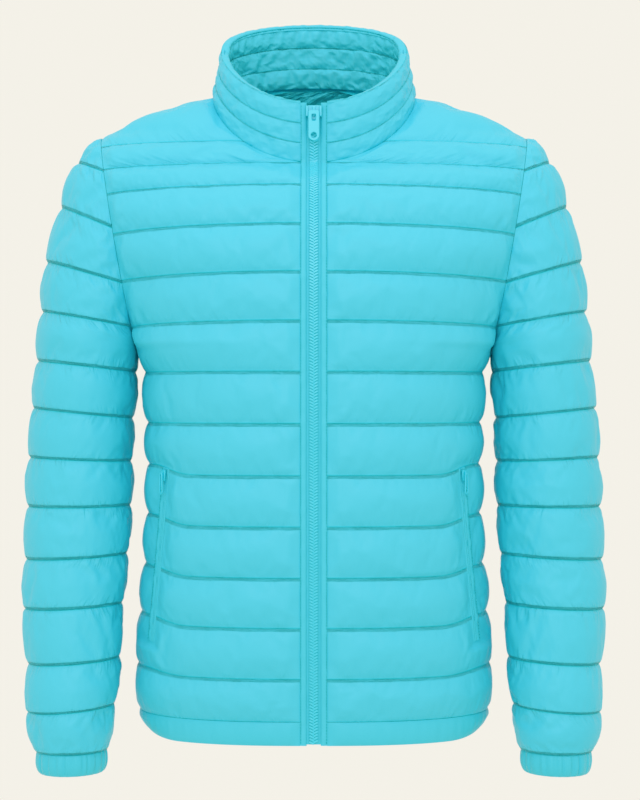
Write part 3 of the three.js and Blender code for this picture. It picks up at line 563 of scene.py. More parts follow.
def subdivide(piece):
    """Applies one subdivision, so the piece is a plain mesh."""
    modifier = piece.modifiers.new("smooth", "SUBSURF")
    modifier.levels = 1
    modifier.render_levels = 1
    modifier.boundary_smooth = "PRESERVE_CORNERS"
    graph = bpy.context.evaluated_depsgraph_get()
    mesh = bpy.data.meshes.new_from_object(piece.evaluated_get(graph))
    piece.modifiers.clear()
    piece.data = mesh
    piece.data.shade_smooth()


def join(pieces, name):
    with bpy.context.temp_override(
        active_object=pieces[0], object=pieces[0], selected_editable_objects=pieces, selected_objects=pieces
    ):
        bpy.ops.object.join()
    pieces[0].name = name
    return pieces[0]


def plain_inside(name, points, inside_at, rows, places, piece):
    """Closes a wall: a plain inner face, and a rim from each edge of the cloth to it."""
    few = np.s_[::INSIDE_STEP, ::INSIDE_STEP]
    coarse = inside_at(rows[few], places[few])
    parts = [piece, mesh_object(name + "_inside", coarse, grid_faces(*coarse.shape[:2]))]
    edges = (np.s_[0, :], np.s_[-1, :], np.s_[:, 0], np.s_[:, -1])
    for number, edge in enumerate(edges):
        rim = np.stack([points[edge], inside_at(rows[edge], places[edge])])
        parts.append(mesh_object(f"{name}_rim_{number}", rim, grid_faces(*rim.shape[:2])))
    return join(parts, name)


def keep_in_body(points, is_front):
    points = points.copy()
    limit = armhole_x(points[..., 2]) - HALF_GAP
    points[..., 0] = np.clip(points[..., 0], -limit, limit)
    if is_front:
        points[..., 1] = np.minimum(points[..., 1], -HALF_GAP)
    else:
        points[..., 1] = np.maximum(points[..., 1], HALF_GAP)
    return points


def keep_in_sleeve(points):
    points = points.copy()
    sign = np.sign(points[..., 0].mean())
    limit = armhole_x(points[..., 2]) + HALF_GAP
    points[..., 0] = sign * np.maximum(sign * points[..., 0], limit)
    return points


def inner_height(q):
    z = row_height(q)
    return z - WALL * smooth((z - PIT_Z) / (TIP_Z - PIT_Z))


def body_surface(is_front, sign=1, height_at=row_height, inset=0.0):
    """A face of the front or back by row and share, where a share below 0 is on the left."""
    def surface(q, share):
        points = body_point(height_at(q), np.abs(share), is_front, inset)
        points[..., 0] *= np.where(share < 0, -1, 1) * sign
        return points
    return surface


def body_normals(q, share, is_front, sign=1):
    place = np.clip(np.abs(share), 0.01, 0.97)
    normals = sum(
        outward(lambda z, s: body_point(z, s, is_front), row_height(q) + off, place, 0.001, 0.006)
        for off in NORMAL_SPREAD
    )
    normals = unit(normals)
    wrong = normals[..., 1] > 0 if is_front else normals[..., 1] < 0
    normals = np.where(wrong[..., None], -normals, normals)
    normals[..., 0] *= np.where(share < 0, -1, 1) * sign
    normals[..., 0] *= np.where(np.abs(share) < 0.012, 0, 1) if not is_front else 1
    return normals


def side_fade(left, seam_puff, reach=SIDE_REACH):
    """How much of the puff is left near each side of a panel, from the metres along its rows."""
    right = left[:, -1:] - left
    return tuple(seam_puff + (1 - seam_puff) * smooth(side / reach) for side in (right, left))


def body_rows(top_row):
    """The body's rows of mesh, the nearest one moved to the shoulder's tip so its corner is kept."""
    places = row_places(0, top_row, ROW_STEPS)
    near_tip = np.linspace(*TIP_BETWEEN, 4001)
    tip = np.interp(TIP_Z, line_level(row_height(near_tip), 1.0), near_tip)
    places[np.argmin(np.abs(places - tip))] = tip
    return places


def body_panel(name, is_front, sign, seed, feel):
    """A front, whose shares run from 0 to 1, or the whole back, whose shares run from -1 to 1."""
    half = np.linspace(0, 1, MESH_COLUMNS["front" if is_front else "half_back"])
    across = half if is_front else np.concatenate([-half[:0:-1], half])
    rows, shares = np.meshgrid(
        body_rows(FRONT_TOP_ROW if is_front else BACK_TOP_ROW), across, indexing="ij"
    )
    surface = body_surface(is_front, sign)
    left = run_length(surface(rows, shares))
    seam_puff = np.where(row_height(rows) < PIT_Z, SIDE_SEAM_PUFF, 0.0)
    at_right, at_left = side_fade(left, seam_puff)
    if is_front:
        away = np.abs(np.abs(surface(rows, shares)[..., 0]) - pocket_x(row_height(rows)))
        at_pocket = (rows > POCKET["bottom_row"] - 0.1) & (rows < POCKET["top_row"] + 0.1)
        fade = at_right * smooth(left / EDGE_REACH)
        fade = np.where(at_pocket, fade * smooth((away - POCKET_HALF_WIDTH) / EDGE_REACH), fade)
        height = BODY_PUFF * puff_shape(rows) * fade
    else:
        height = BODY_PUFF * puff_shape(rows) * at_right * at_left
    inner = body_surface(is_front, sign, inner_height, WALL)
    return quilt(
        name, (rows, shares), surface, lambda q, share: body_normals(q, share, is_front, sign),
        lambda q, share: keep_in_body(inner(q, share), is_front), height, seed, feel,
        clamp=lambda points: keep_in_body(points, is_front),
    )


def sleeve_panel(name, sign, seed):
    rows, shares = np.meshgrid(
        row_places(0, SLEEVE_END, ROW_STEPS), np.linspace(0, 1, MESH_COLUMNS["sleeve"]), indexing="ij"
    )
    turned = np.array([sign, 1, 1])

    def surface(q, share):
        """The cap's top row is drawn together and up, to meet the tip of the shoulder seam."""
        points = sleeve_point(q, share) * turned
        at_top = smooth(1 - q * ROW_STEPS)
        points[..., 1] *= 1 - CAP_TOP_NARROWED * at_top
        points[..., 2] += at_top * (TIP_Z - SEAM_GAP - SLEEVE_ROWS[0][SLEEVE_COLUMNS.index("z")])
        return points

    def normal_at(q, share):
        q, share = np.clip(q, 0.05, SLEEVE_END - 0.05), np.clip(share, 0.02, 0.98)
        return outward(sleeve_point, q, share, 0.02, 0.005) * turned

    normals = normal_at(rows, shares)
    seam = unit(normals[:, 0] + normals[:, -1])
    is_ring = rows[:, :1] >= SLEEVE_PIT
    for end in (0, -1):
        normals[:, end] = np.where(is_ring, seam, normals[:, end])
    seam_puff = np.where(rows < SLEEVE_PIT, 0.0, SLEEVE_SEAM_PUFF)
    fade = np.minimum(*side_fade(run_length(surface(rows, shares)), seam_puff))
    return quilt(
        name, (rows, shares), surface, normal_at,
        lambda q, share: keep_in_sleeve(sleeve_point(q, share, WALL) * turned),
        SLEEVE_PUFF * puff_shape(rows) * fade, seed, SLEEVE_CLOTH,
        clamp=keep_in_sleeve, normals=normals,
    )


COLLAR_START = math.asin(EDGE_X / NECK["half_width"])
COLLAR_END = 2 * math.pi - COLLAR_START
FACING_INSET = 6 * MM
FACING_HELD_FROM = 2.78


def collar_rise(q):
    return np.interp(q, np.arange(4), COLLAR_ROWS)


def collar_panel(name, is_facing, seed):
    rows, turns = np.meshgrid(
        row_places(0, 3, ROW_STEPS), np.linspace(COLLAR_START, COLLAR_END, MESH_COLUMNS["collar"]),
        indexing="ij",
    )
    near = FACING_INSET if is_facing else 0.0
    far = WALL + SEAM_GAP if is_facing else WALL

    def surface(q, angle):
        return collar_point(angle, collar_rise(q), near)

    def normal_at(q, angle):
        found = outward(
            lambda a, b: collar_point(a, b, near), angle, np.clip(collar_rise(q), 0.05, 0.95), 0.01, 0.02
        )
        outwards = np.sum(found * surface(q, angle) * np.array([1, 1, 0]), axis=-1) > 0
        return np.where((outwards == is_facing)[..., None], -found, found)

    from_end = np.minimum(turns - COLLAR_START, COLLAR_END - turns) * 0.09
    height = (FACING_PUFF if is_facing else COLLAR_PUFF) * puff_shape(rows) * smooth(from_end / 0.01)
    if is_facing:
        height = height * smooth((3 - rows) / 0.5)
    return quilt(
        name, (rows, turns), surface, normal_at,
        lambda q, angle: collar_point(angle, collar_rise(q), far), height, seed,
        INSIDE_CLOTH if is_facing else COLLAR_CLOTH,
        held_from=FACING_HELD_FROM if is_facing else math.inf,
    )


def lining_panel(name, seed):
    """The lining that shows inside the back of the neck, from just above one of its lines."""
    first, last = LINING["bottom_row"] + 0.2, BACK_TOP_ROW - 0.2
    rows, shares = np.meshgrid(
        row_places(0, 1, LINING_STEPS),
        np.linspace(-LINING["share"], LINING["share"], MESH_COLUMNS["lining"]), indexing="ij",
    )

    def face_at(inset):
        face = body_surface(False, 1, inner_height, inset)
        return lambda part, share: face(first + (last - first) * part, share)

    return quilt(
        name, (rows, shares), face_at(LINING["inset"] + 0.002),
        lambda part, share: -body_normals(first + (last - first) * part, share, False),
        face_at(LINING["inset"]), LINING_PUFF * np.sin(math.pi * (0.1 + 0.8 * rows)) ** 0.7, seed,
        INSIDE_CLOTH,
    )


def finish_panel(panel):
    piece = panel["piece"]
    points = panel["clamp"](read_points(piece).astype(float))
    write_points(piece, points)
    crease_rows(piece, panel["rows"])
    subdivide(piece)
    grid = points.reshape(*panel["rows"].shape, 3)
    return plain_inside(panel["name"], grid, panel["inside_at"], panel["rows"], panel["places"], piece)


# Bands, strips and zip

def face_outward(piece):
    """Turns a closed mesh's faces outward, keeps its real corners sharp and marks it as plain cloth."""
    mesh = bmesh.new()
    mesh.from_mesh(piece.data)
    bmesh.ops.recalc_face_normals(mesh, faces=mesh.faces[:])
    mesh.to_mesh(piece.data)
    mesh.free()
    piece.data.set_sharp_from_angle(angle=SHARP_ANGLE)
    give_attribute(piece, "from_line", np.full(len(piece.data.vertices), FAR_FROM_LINE))
    return piece


def closed_ring_mesh(name, points):
    """A closed tube of rings: the rows join round the section, the columns round the ring."""
    rows, count = points.shape[:2]
    faces = grid_faces(rows + 1, count, wraps=True) % (rows * count)
    return face_outward(mesh_object(name, points, faces))


def closed_strip(name, section_rows):
    """A band as one closed mesh: its rows join round the section and both ends are capped."""
    points = np.swapaxes(np.stack(section_rows), 0, 1)
    count, around = points.shape[:2]
    faces = grid_faces(count, around, wraps=True).tolist()
    faces.append(list(range(around))[::-1])
    faces.append([(count - 1) * around + place for place in range(around)])
    return face_outward(mesh_object(name, points, faces))


# A cuff's section: how far its seam lies inside the sleeve's end, its fullness and its gathers
CUFF_SECTION = dict(inset=1.4 * MM, plump=1.2 * MM, gather=0.9 * MM, columns=14, rows=15)


# How far a cuff's gathers move aside and vary in depth, and its lower end: one row past it,
# how much it narrows towards it, and how far that last row is tucked in
GATHERS = dict(shift=0.35, shallow=0.45, deep=1.25)
CUFF_END = dict(last_row=1.03, narrowed=0.07, tucked=0.975)


def cuff(name, sign, seed):
    """A gathered band at the sleeve's end, with rounded lower corners and a plain inside."""
    random = np.random.default_rng(seed)
    around = np.linspace(0, 1, CUFF_GATHERS * CUFF_SECTION["columns"], endpoint=False)
    down = np.concatenate([np.linspace(0, 1, CUFF_SECTION["rows"]), [CUFF_END["last_row"]]])
    shift = random.uniform(-GATHERS["shift"], GATHERS["shift"], CUFF_GATHERS)
    depth = random.uniform(GATHERS["shallow"], GATHERS["deep"], CUFF_GATHERS)
    place = around * CUFF_GATHERS
    whole = np.floor(place).astype(int) % CUFF_GATHERS
    ease = np.sin(math.pi * (place % 1)) ** 2
    rows, turns = np.meshgrid(down, around, indexing="ij")
    part = np.clip(rows, 0, 1)
    middle_row = np.sin(math.pi * part)
    wave = np.cos(2 * math.pi * (place + shift[whole] * ease)) * depth[whole]
    wave = wave[None, :] * (0.35 + 0.65 * middle_row**0.5)
    middle = (sleeve_point(SLEEVE_END, 0.0) + sleeve_point(SLEEVE_END, 0.5)) / 2
    from_middle = sleeve_point(np.full_like(turns, SLEEVE_END), turns, CUFF_SECTION["inset"]) - middle
    length = np.linalg.norm(from_middle, axis=-1, keepdims=True)
    plump = CUFF_SECTION["plump"] * middle_row**0.6
    out = 1 + (CUFF_SECTION["gather"] * wave + plump)[..., None] / length
    out = out * (1 - CUFF_END["narrowed"] * part[..., None] ** 4)
    out = out * np.where(rows > 1, CUFF_END["tucked"], 1)[..., None]
    points = middle + from_middle * out
    points[..., 2] -= SEAM_GAP + np.minimum(rows, 1) * CUFF_HEIGHT
    inset = WALL + CUFF_SECTION["inset"]
    inside = sleeve_point(np.full((3, len(around)), SLEEVE_END), np.tile(around, (3, 1)), inset)
    inside = middle + (inside - middle) * np.array([0.95, 0.97, 1.0])[:, None, None]
    inside[..., 2] -= SEAM_GAP + np.array([1.0, 0.5, 0.0])[:, None] * CUFF_HEIGHT
    return closed_ring_mesh(name, np.concatenate([points, inside]) * np.array([sign, 1, 1]))


# The hem band: how much lower it is at the sides, its fullness and its puckers
HEM = dict(side_rise=9 * MM, bulge=2.4 * MM, ripple=0.18 * MM, half_length=0.21, drawn_in=0.035)
HEM_ROWS = 13
HEM_COLUMNS = dict(front=170, back=320)


def hem_band(name, is_front, sign, seed):
    """The band round the bottom edge, drawn in under the sides, with a few small puckers."""
    down = np.concatenate([np.linspace(0, 1, HEM_ROWS), [1.0]])
    shares = np.linspace(0 if is_front else -1, 1, HEM_COLUMNS["front" if is_front else "back"])
    rows, places = np.meshgrid(down, shares, indexing="ij")
    away = np.abs(places)
    flip = np.where(places < 0, -1, 1)
    edge = body_point(BODY_ROWS[0][0], away, is_front)
    edge[..., 0] *= flip
    side = smooth((away - 0.5) / 0.5)
    drop = HEM_HEIGHT - HEM["side_rise"] * side
    metres = np.linspace(0, HEM["half_length"] * (1 if is_front else 2), len(shares))
    ripple = HEM["ripple"] * ripples(metres, seed, (0.011, 0.019, 0.031))
    fade = smooth(places / 0.03) if is_front else 1.0
    bulge = (HEM["bulge"] + ripple[None, :]) * np.sin(math.pi * rows) ** 0.6 * fade
    drawn = 1 - HEM["drawn_in"] * rows**2 * smooth((away - 0.3) / 0.7)
    edge[..., 0] = (edge[..., 0] + np.sign(places) * bulge * side) * drawn
    edge[..., 1] += (-1 if is_front else 1) * bulge * (1 - smooth((away - 0.7) / 0.3))
    edge[..., 2] -= SEAM_GAP + drop * rows
    inner = body_point(BODY_ROWS[0][0], away[:2], is_front, WALL)
    inner[..., 0] *= flip[:2] * drawn[[-1, 0]]
    inner[..., 2] -= SEAM_GAP + drop[:2] * np.array([[1.0], [0.0]])
    return closed_strip(name, np.concatenate([edge[:-1], inner]) * np.array([sign, 1, 1]))


LINE_STEP = 4 * MM
LINE_FOOT = (0, 7 * MM, 14 * MM)
LINE_RISE = 0.985


def front_line():
    """Points and outward directions along the front edges, from the hem to the collar's rim."""
    heights = np.arange(BODY_ROWS[0][0], NECK["z_front"] - LINE_STEP / 2, LINE_STEP)
    body = np.stack([0 * heights, -body_column("front", heights), heights], axis=-1)
    foot = np.array([[0, body[0, 1], BODY_ROWS[0][0] - HEM_HEIGHT + part] for part in LINE_FOOT])
    rise = np.linspace(0, LINE_RISE, 16)[:, None]
    low = ring_point(NECK, 0.0, 0.0)
    high = ring_point(RIM, 0.0, 0.0)
    line = np.concatenate([foot, body, low + (high - low) * rise])
    along = unit(np.gradient(line, axis=0))
    return line, np.stack([0 * along[:, 0], -along[:, 2], along[:, 1]], axis=-1)


LINE, AHEAD = front_line()
LINE_LENGTH = run_length(LINE)


def on_line(length, x, lift):
    """A point before the front edges: metres up from the hem, across, and forward of the line."""
    point = np.stack([np.interp(length, LINE_LENGTH, LINE[:, i]) for i in range(3)], axis=-1)
    ahead = np.stack([np.interp(length, LINE_LENGTH, AHEAD[:, i]) for i in range(3)], axis=-1)
    point = point + ahead * np.asarray(lift)[..., None]
    point[..., 0] = x
    return point


# The section of a strip beside the zip: across it, and how far it stands forward.
STRIP_SECTION = ((0.0, -0.0020), (0.0, 0.0000), (0.07, 0.0007), (0.30, 0.0011), (0.60, 0.0012),
                 (0.80, 0.0010), (0.90, 0.0007), (0.97, 0.0007), (1.0, 0.0003), (1.0, -0.0020))


def placket(name, sign):
    """A folded strip beside the zip, with a groove where it is stitched."""
    lengths = np.linspace(0, LINE_LENGTH[-1], 330)
    ripple = 0.12 * MM * ripples(lengths, 7 if sign > 0 else 8, (0.013, 0.021, 0.047))
    rows = []
    for across, lift in STRIP_SECTION:
        x = sign * (STRIP_X + (EDGE_X - STRIP_X) * across)
        rows.append(on_line(lengths, x, lift + ripple * (lift > 0)))
    return closed_strip(name, rows)


TAPE_SECTION = ((TAPE_X, -0.0018), (TAPE_X, -0.0001), (STRIP_X, -0.0001), (STRIP_X, -0.0018))


def zip_tape(name, sign):
    lengths = np.linspace(0.0012, LINE_LENGTH[-1] - 0.0045, 170)
    rows = [on_line(lengths, sign * x, np.full_like(lengths, lift)) for x, lift in TAPE_SECTION]
    return closed_strip(name, rows)


def rounded_block(half_x, half_y, half_z, bevel):
    """The points and faces of a block with chamfered edges, for pieces repeated many times."""
    mesh = bmesh.new()
    bmesh.ops.create_cube(mesh, size=2)
    for vertex in mesh.verts:
        vertex.co.x *= half_x
        vertex.co.y *= half_y
        vertex.co.z *= half_z
    bmesh.ops.bevel(mesh, geom=mesh.edges[:], offset=bevel, segments=1, affect="EDGES", profile=0.5)
    mesh.verts.index_update()
    points = np.array([vertex.co[:] for vertex in mesh.verts])
    faces = [[vertex.index for vertex in face.verts] for face in mesh.faces]
    mesh.free()
    return points, faces


def repeated(name, block, places, axes):
    """One mesh of many copies of a block, each at a place and turned to its axes."""
    points, faces = block
    all_points = []
    all_faces = []
    for number, (place, turn) in enumerate(zip(places, axes)):
        all_points.append(points @ turn + place)
        all_faces += [[index + number * len(points) for index in face] for face in faces]
    return mesh_object(name, np.concatenate(all_points), all_faces, is_smooth=False)


def line_axes(lengths):
    """Axes across, into and along the front line at each length, as rows of a matrix."""
    ends = [on_line(lengths + off, 0, 0 * lengths) for off in (2 * MM, -2 * MM)]
    along = unit(ends[0] - ends[1])
    into = np.stack([0 * along[:, 0], along[:, 2], -along[:, 1]], axis=-1)
    across = np.tile([1.0, 0.0, 0.0], (len(lengths), 1))
    return np.stack([across, into, along], axis=1)


TEETH = dict(
    pitch=3 * MM, half_width=2.6 * MM, half_depth=0.9 * MM, half_height=1.15 * MM, bevel=0.4 * MM,
    reach=2 * MM, lift=1 * MM, tilt=28,
)


def zip_teeth():
    """Two columns of moulded teeth that meet in the middle, half a pitch apart."""
    block = rounded_block(*(TEETH[key] for key in ("half_width", "half_depth", "half_height", "bevel")))
    lengths = np.arange(0.003, LINE_LENGTH[-1] - 0.010, TEETH["pitch"])
    columns = []
    for sign in (-1, 1):
        places = lengths + (TEETH["pitch"] / 2 if sign > 0 else 0)
        across = np.full_like(places, sign * TEETH["reach"])
        points = on_line(places, across, np.full_like(places, TEETH["lift"]))
        axes = line_axes(places)
        tilt = sign * math.radians(TEETH["tilt"])
        leant = axes.copy()
        leant[:, 0] = axes[:, 0] * math.cos(tilt) + axes[:, 2] * math.sin(tilt)
        leant[:, 2] = axes[:, 2] * math.cos(tilt) - axes[:, 0] * math.sin(tilt)
        columns.append(repeated("teeth", block, points, leant))
    return join(columns, "zip_teeth")


def thread_block(length, thick):
    """One stitch of thread, pointed at both ends, cheap enough to repeat thousands of times."""
    ring = [(0.0, thick), (thick, 0.0), (0.0, -thick), (-thick, 0.0)]
    points = [(-length / 2, 0, 0), (length / 2, 0, 0)]
    points += [(0, y, z) for y, z in ring]
    faces = []
    for k in range(4):
        after = (k + 1) % 4
        faces.append([0, 2 + after, 2 + k])
        faces.append([1, 2 + k, 2 + after])
    return np.array(points), faces


def stitches(name, points, normals, stitch=TOP_STITCH, keep=slice(None)):
    """Thread stitches at the kept ones of the points in a line on a surface."""
    along = unit(np.gradient(points, axis=0))
    side = unit(np.cross(along, normals))
    axes = np.stack([along, side, np.cross(side, along)], axis=1)
    return repeated(name, thread_block(stitch["length"], stitch["thick"]), points[keep], axes[keep])


def placket_stitches(name, sign):
    lengths = np.arange(0.003, LINE_LENGTH[-1] - 0.003, TOP_STITCH["pitch"])
    x = sign * (STRIP_X + (EDGE_X - STRIP_X) * 0.90)
    points = on_line(lengths, x, np.full_like(lengths, 0.0009))
    return stitches(name, points, -line_axes(lengths)[:, 1])


def flat_outline(name, loops, thickness, bevel):
    """A flat plate in XZ with rounded edges, from closed loops of points; later loops are holes."""
    data = bpy.data.curves.new(name, "CURVE")
    data.dimensions = "2D"
    data.fill_mode = "BOTH"
    data.extrude = thickness / 2 - bevel
    data.bevel_depth = bevel
    data.bevel_resolution = 2
    data.offset = -bevel
    for loop in loops:
        spline = data.splines.new("POLY")
        spline.points.add(len(loop) - 1)
        for point, (x, z) in zip(spline.points, loop):
            point.co = (x, z, 0, 1)
        spline.use_cyclic_u = True
    shape = new_object(name + "_curve", data)
    graph = bpy.context.evaluated_depsgraph_get()
    mesh = bpy.data.meshes.new_from_object(shape.evaluated_get(graph))
    bpy.data.objects.remove(shape)
    points = np.array([vertex.co[:] for vertex in mesh.vertices])
    turned = np.stack([points[:, 0], -points[:, 2], points[:, 1]], axis=-1)
    mesh.vertices.foreach_set("co", turned.astype(np.float32).ravel())
    mesh.update()
    return new_object(name, mesh)


def arc(x, z, radius, start, end, count=14):
    turns = np.radians(np.linspace(start, end, count))
    return [(x + radius * math.cos(t), z + radius * math.sin(t)) for t in turns]


def top_corners(half, top, radius, count):
    """The two upper corners of an outline, rounded."""
    left = arc(-half + radius, top - radius, radius, 180, 90, count)
    return left + arc(half - radius, top - radius, radius, 90, 0, count)


def low_corners(half, end, radius, count):
    right = arc(half - radius, end + radius, radius, 0, -90, count)
    return right + arc(-half + radius, end + radius, radius, 270, 180, count)


def move(piece, offset):
    write_points(piece, read_points(piece) + np.asarray(offset))
    return piece


SLIDER = dict(top=-0.009, height=0.015, half=0.0074, thickness=0.0042, corner=0.002)
PULL = dict(
    pin_z=-0.0156, length=0.031, half=0.0056, thickness=0.0022, gap=0.0006, corner=0.0025, bevel=0.0006,
    slot_half=0.002, slot_top=0.003, slot_end=0.0095, slot_corner=0.0008, eye=0.0029,
)
CHAIN_FRONT = 0.0020
# A slider's plate: its thickness, its bevel and how far its middle stands off what it rides on
PLATE_THICKNESS = 0.0016
PLATE_BEVEL = 0.0005
PLATE_LIFT = 0.0009


def slider_back():
    """The y of the slider's back face, just before the chain."""
    rise = (SLIDER["top"] - NECK["z_front"]) / (RIM["z_front"] - NECK["z_front"])
    low, high = ring_point(NECK, 0.0, 0.0), ring_point(RIM, 0.0, 0.0)
    return (low + (high - low) * rise)[1] - CHAIN_FRONT - SEAM_GAP


def upright_block(name, half_sizes, bevel, places):
    return repeated(name, rounded_block(*half_sizes, bevel), places, [np.eye(3)] * len(places))


def zip_slider():
    """The slider's front plate with its side wings and its bridge, over the chain."""
    top, height, half, thick = (SLIDER[key] for key in ("top", "height", "half", "thickness"))
    back, corner = slider_back(), SLIDER["corner"]
    waist_x, waist_z = half * 0.95, top - height * 0.45
    tail_half = half * 0.5 + corner
    outline = top_corners(half, top, corner, 5) + [(waist_x, waist_z)]
    outline += low_corners(tail_half, top - height, corner, 5) + [(-waist_x, waist_z)]
    plate = flat_outline("slider_plate", [outline], PLATE_THICKNESS, PLATE_BEVEL)
    move(plate, (0, back - PLATE_LIFT, 0))
    wing_half_sizes = (0.0012, thick / 2, height * 0.36)
    bridge_half_sizes = (0.0016, 0.0013, height * 0.34)
    wing_places = [
        (side * (half - 0.0006), back - thick / 2 + 0.0004, top - height * 0.4) for side in (-1, 1)
    ]
    wings = upright_block("slider_wings", wing_half_sizes, PLATE_BEVEL, wing_places)
    bridge_place = (0, back - 0.0027, top - height * 0.42)
    bridge = upright_block("slider_bridge", bridge_half_sizes, 0.0006, [bridge_place])
    return join([plate, wings, bridge], "zip_slider_metal")


def zip_pull():
    """The pull tab: a rounded plate with a slot near its pin and a round eye near its end."""
    half, thick = PULL["half"], PULL["thickness"]
    top = PULL["pin_z"] + thick / 2
    eye_z = top - PULL["length"] + half
    outline = top_corners(half, top, PULL["corner"], 6) + arc(0, eye_z, half, 0, -180, 20)
    slot_half, pin_z, slot_corner = (PULL[key] for key in ("slot_half", "pin_z", "slot_corner"))
    slot = top_corners(slot_half, pin_z - PULL["slot_top"], slot_corner, 4)
    slot += low_corners(slot_half, pin_z - PULL["slot_end"], slot_corner, 4)
    eye = arc(0, eye_z, PULL["eye"], 0, 345, 22)
    plate = flat_outline("zip_pull_plate", [outline, slot, eye], thick, PULL["bevel"])
    centre = slider_back() - SLIDER["thickness"] - PULL["gap"] - thick / 2
    return move(plate, (0, centre, 0))


def clear_of_pocket(q, points):
    """Where a front's stitch line has thread: it stops at each side of the pocket's zip."""
    z = row_height(q)
    if not POCKET["bottom_row"] <= q <= POCKET["top_row"]:
        return np.full(len(points), True)
    return np.abs(np.abs(points[:, 0]) - pocket_x(z)) > POCKET_HALF_WIDTH + 0.001


def quilt_stitches(name, panel, lines, ends, thread_at=None):
    """Thread along the quilted lines of a panel, a stitch every few millimetres."""
    fine = np.linspace(*ends, 400)
    rows = []
    for q in lines:
        length = run_length(panel["surface"](np.full_like(fine, q), fine))
        steps = np.arange(0.002, length[-1] - 0.002, QUILT_STITCH["pitch"])
        places = np.interp(steps, length, fine)
        level = np.full_like(places, q)
        points = panel["clamp"](panel["surface"](level, places))
        normals = panel["normal_at"](level, places)
        keep = thread_at(q, points) if thread_at else slice(None)
        rows.append(stitches(name, points, normals, QUILT_STITCH, keep))
    return join(rows, name)


# The collar's rim, folded over from outside to inside: inset, and height above the rim.
RIM_SECTION = ((0.0002, -0.0026), (-0.0005, -0.0018), (-0.0004, -0.0006), (0.0010, 0.0004),
               (0.0030, 0.0007), (0.0055, 0.0004), (0.0074, -0.0006), (0.0082, -0.0018),
               (0.0082, -0.0028), (0.0074, -0.0034), (0.0081, -0.0041), (0.0080, -0.0056),
               (0.0058, -0.0062))
RIM_STITCH = (0.0075, -0.0034)


def rim_point(turns, inset, up):
    """Points round the collar's rim, at an inset from its outside and a height above it."""
    inset, up = np.broadcast_arrays(inset, up)
    point = ring_point(RIM, turns, 0.0)
    lean = unit(point - ring_point(NECK, turns, 0.0))
    inward = unit(ring_point(RIM, turns, MM) - point)
    return clear_of_edge(point + inward * inset[..., None] + lean * up[..., None], turns)


def collar_rim(name):
    turns = np.linspace(COLLAR_START, COLLAR_END, 420)
    ripple = 0.16 * MM * ripples(turns * 0.085, 61, (0.009, 0.015, 0.027))
    rows = []
    for inset, up in RIM_SECTION:
        plump = ripple * (inset > 0.0064 or up > 0)
        rows.append(rim_point(turns, inset + plump * (inset > 0.0064), up + plump * (up > 0)))
    return closed_strip(name, rows)


def rim_stitches(name):
    turns = np.linspace(COLLAR_START + 0.03, COLLAR_END - 0.03, 175)
    points = rim_point(turns, *RIM_STITCH)
    return stitches(name, points, unit(-points * np.array([1, 1, 0])))


# Pockets

# The section of a pocket's zip: across it, and how far it stands off the panel.
POCKET_SECTION = ((-0.0036, 0.0001), (-0.0034, 0.0005), (-0.0029, 0.0008), (-0.0021, 0.0006),
                  (-0.0018, 0.0002), (-0.0014, 0.0009), (-0.0006, 0.0009), (-0.0002, 0.0001),
                  (0.0002, 0.0004), (0.0006, 0.0009), (0.0018, 0.0011), (0.0030, 0.0008),
                  (0.0036, 0.0001))
# The coil in that section: between which places across it lies, its height and its pitch
COIL = dict(first=-0.0016, last=-0.0004, height=0.3 * MM, pitch=0.0022)
POCKET_STITCH = dict(across=0.0026, lift=0.0011, from_bottom=0.002, from_top=0.001)
# The pocket's slider: its plate in x and z, its bridge, and where it stands
POCKET_PLATE = [(-0.0030, -0.0060), (0.0030, -0.0060), (0.0040, 0.0050), (-0.0040, 0.0050)]
POCKET_BRIDGE = dict(half_sizes=(0.0012, 0.0008, 0.0042), place=(0, -0.0014, -0.0002))
POCKET_SLIDER = dict(from_top=0.008, lift=0.0020)
# The loop on it: the middles and radii of its two ends, and its own thickness
LOOP = dict(top=0.0002, top_radius=0.0017, end=-0.0165, end_radius=0.0022, radius=0.0008, lift=0.0049)


def pocket_point(z, across, lift):
    place = share_at_x(z, pocket_x(z) + across)
    surface = body_point(z, place, True)
    normal = outward(lambda a, b: body_point(a, b, True), z, place, 0.0005, 0.004)
    normal = np.where(normal[..., 1:2] > 0, -normal, normal)
    return surface + normal * np.asarray(lift)[..., None], normal


def pocket_zip(name, sign):
    z = np.linspace(POCKET_BOTTOM, POCKET_TOP, 260)
    ripple = 0.13 * MM * ripples(z, 70 + sign, (0.011, 0.019, 0.037))
    coil = COIL["height"] * np.sin(z * 2 * math.pi / COIL["pitch"])
    rows = []
    for across, lift in POCKET_SECTION:
        is_coil = COIL["first"] < across < COIL["last"]
        wave = coil if is_coil else ripple
        rows.append(pocket_point(z, across + (0 if is_coil else wave), lift + wave * (lift > 0.0004))[0])
    return closed_strip(name, np.stack(rows) * np.array([sign, 1, 1]))


def pocket_stitches(name, sign):
    first, last = POCKET_BOTTOM + POCKET_STITCH["from_bottom"], POCKET_TOP - POCKET_STITCH["from_top"]
    z = np.arange(first, last, TOP_STITCH["pitch"])
    points, normals = pocket_point(z, POCKET_STITCH["across"], POCKET_STITCH["lift"])
    turn = np.array([sign, 1, 1])
    return stitches(name, points * turn, normals * turn)


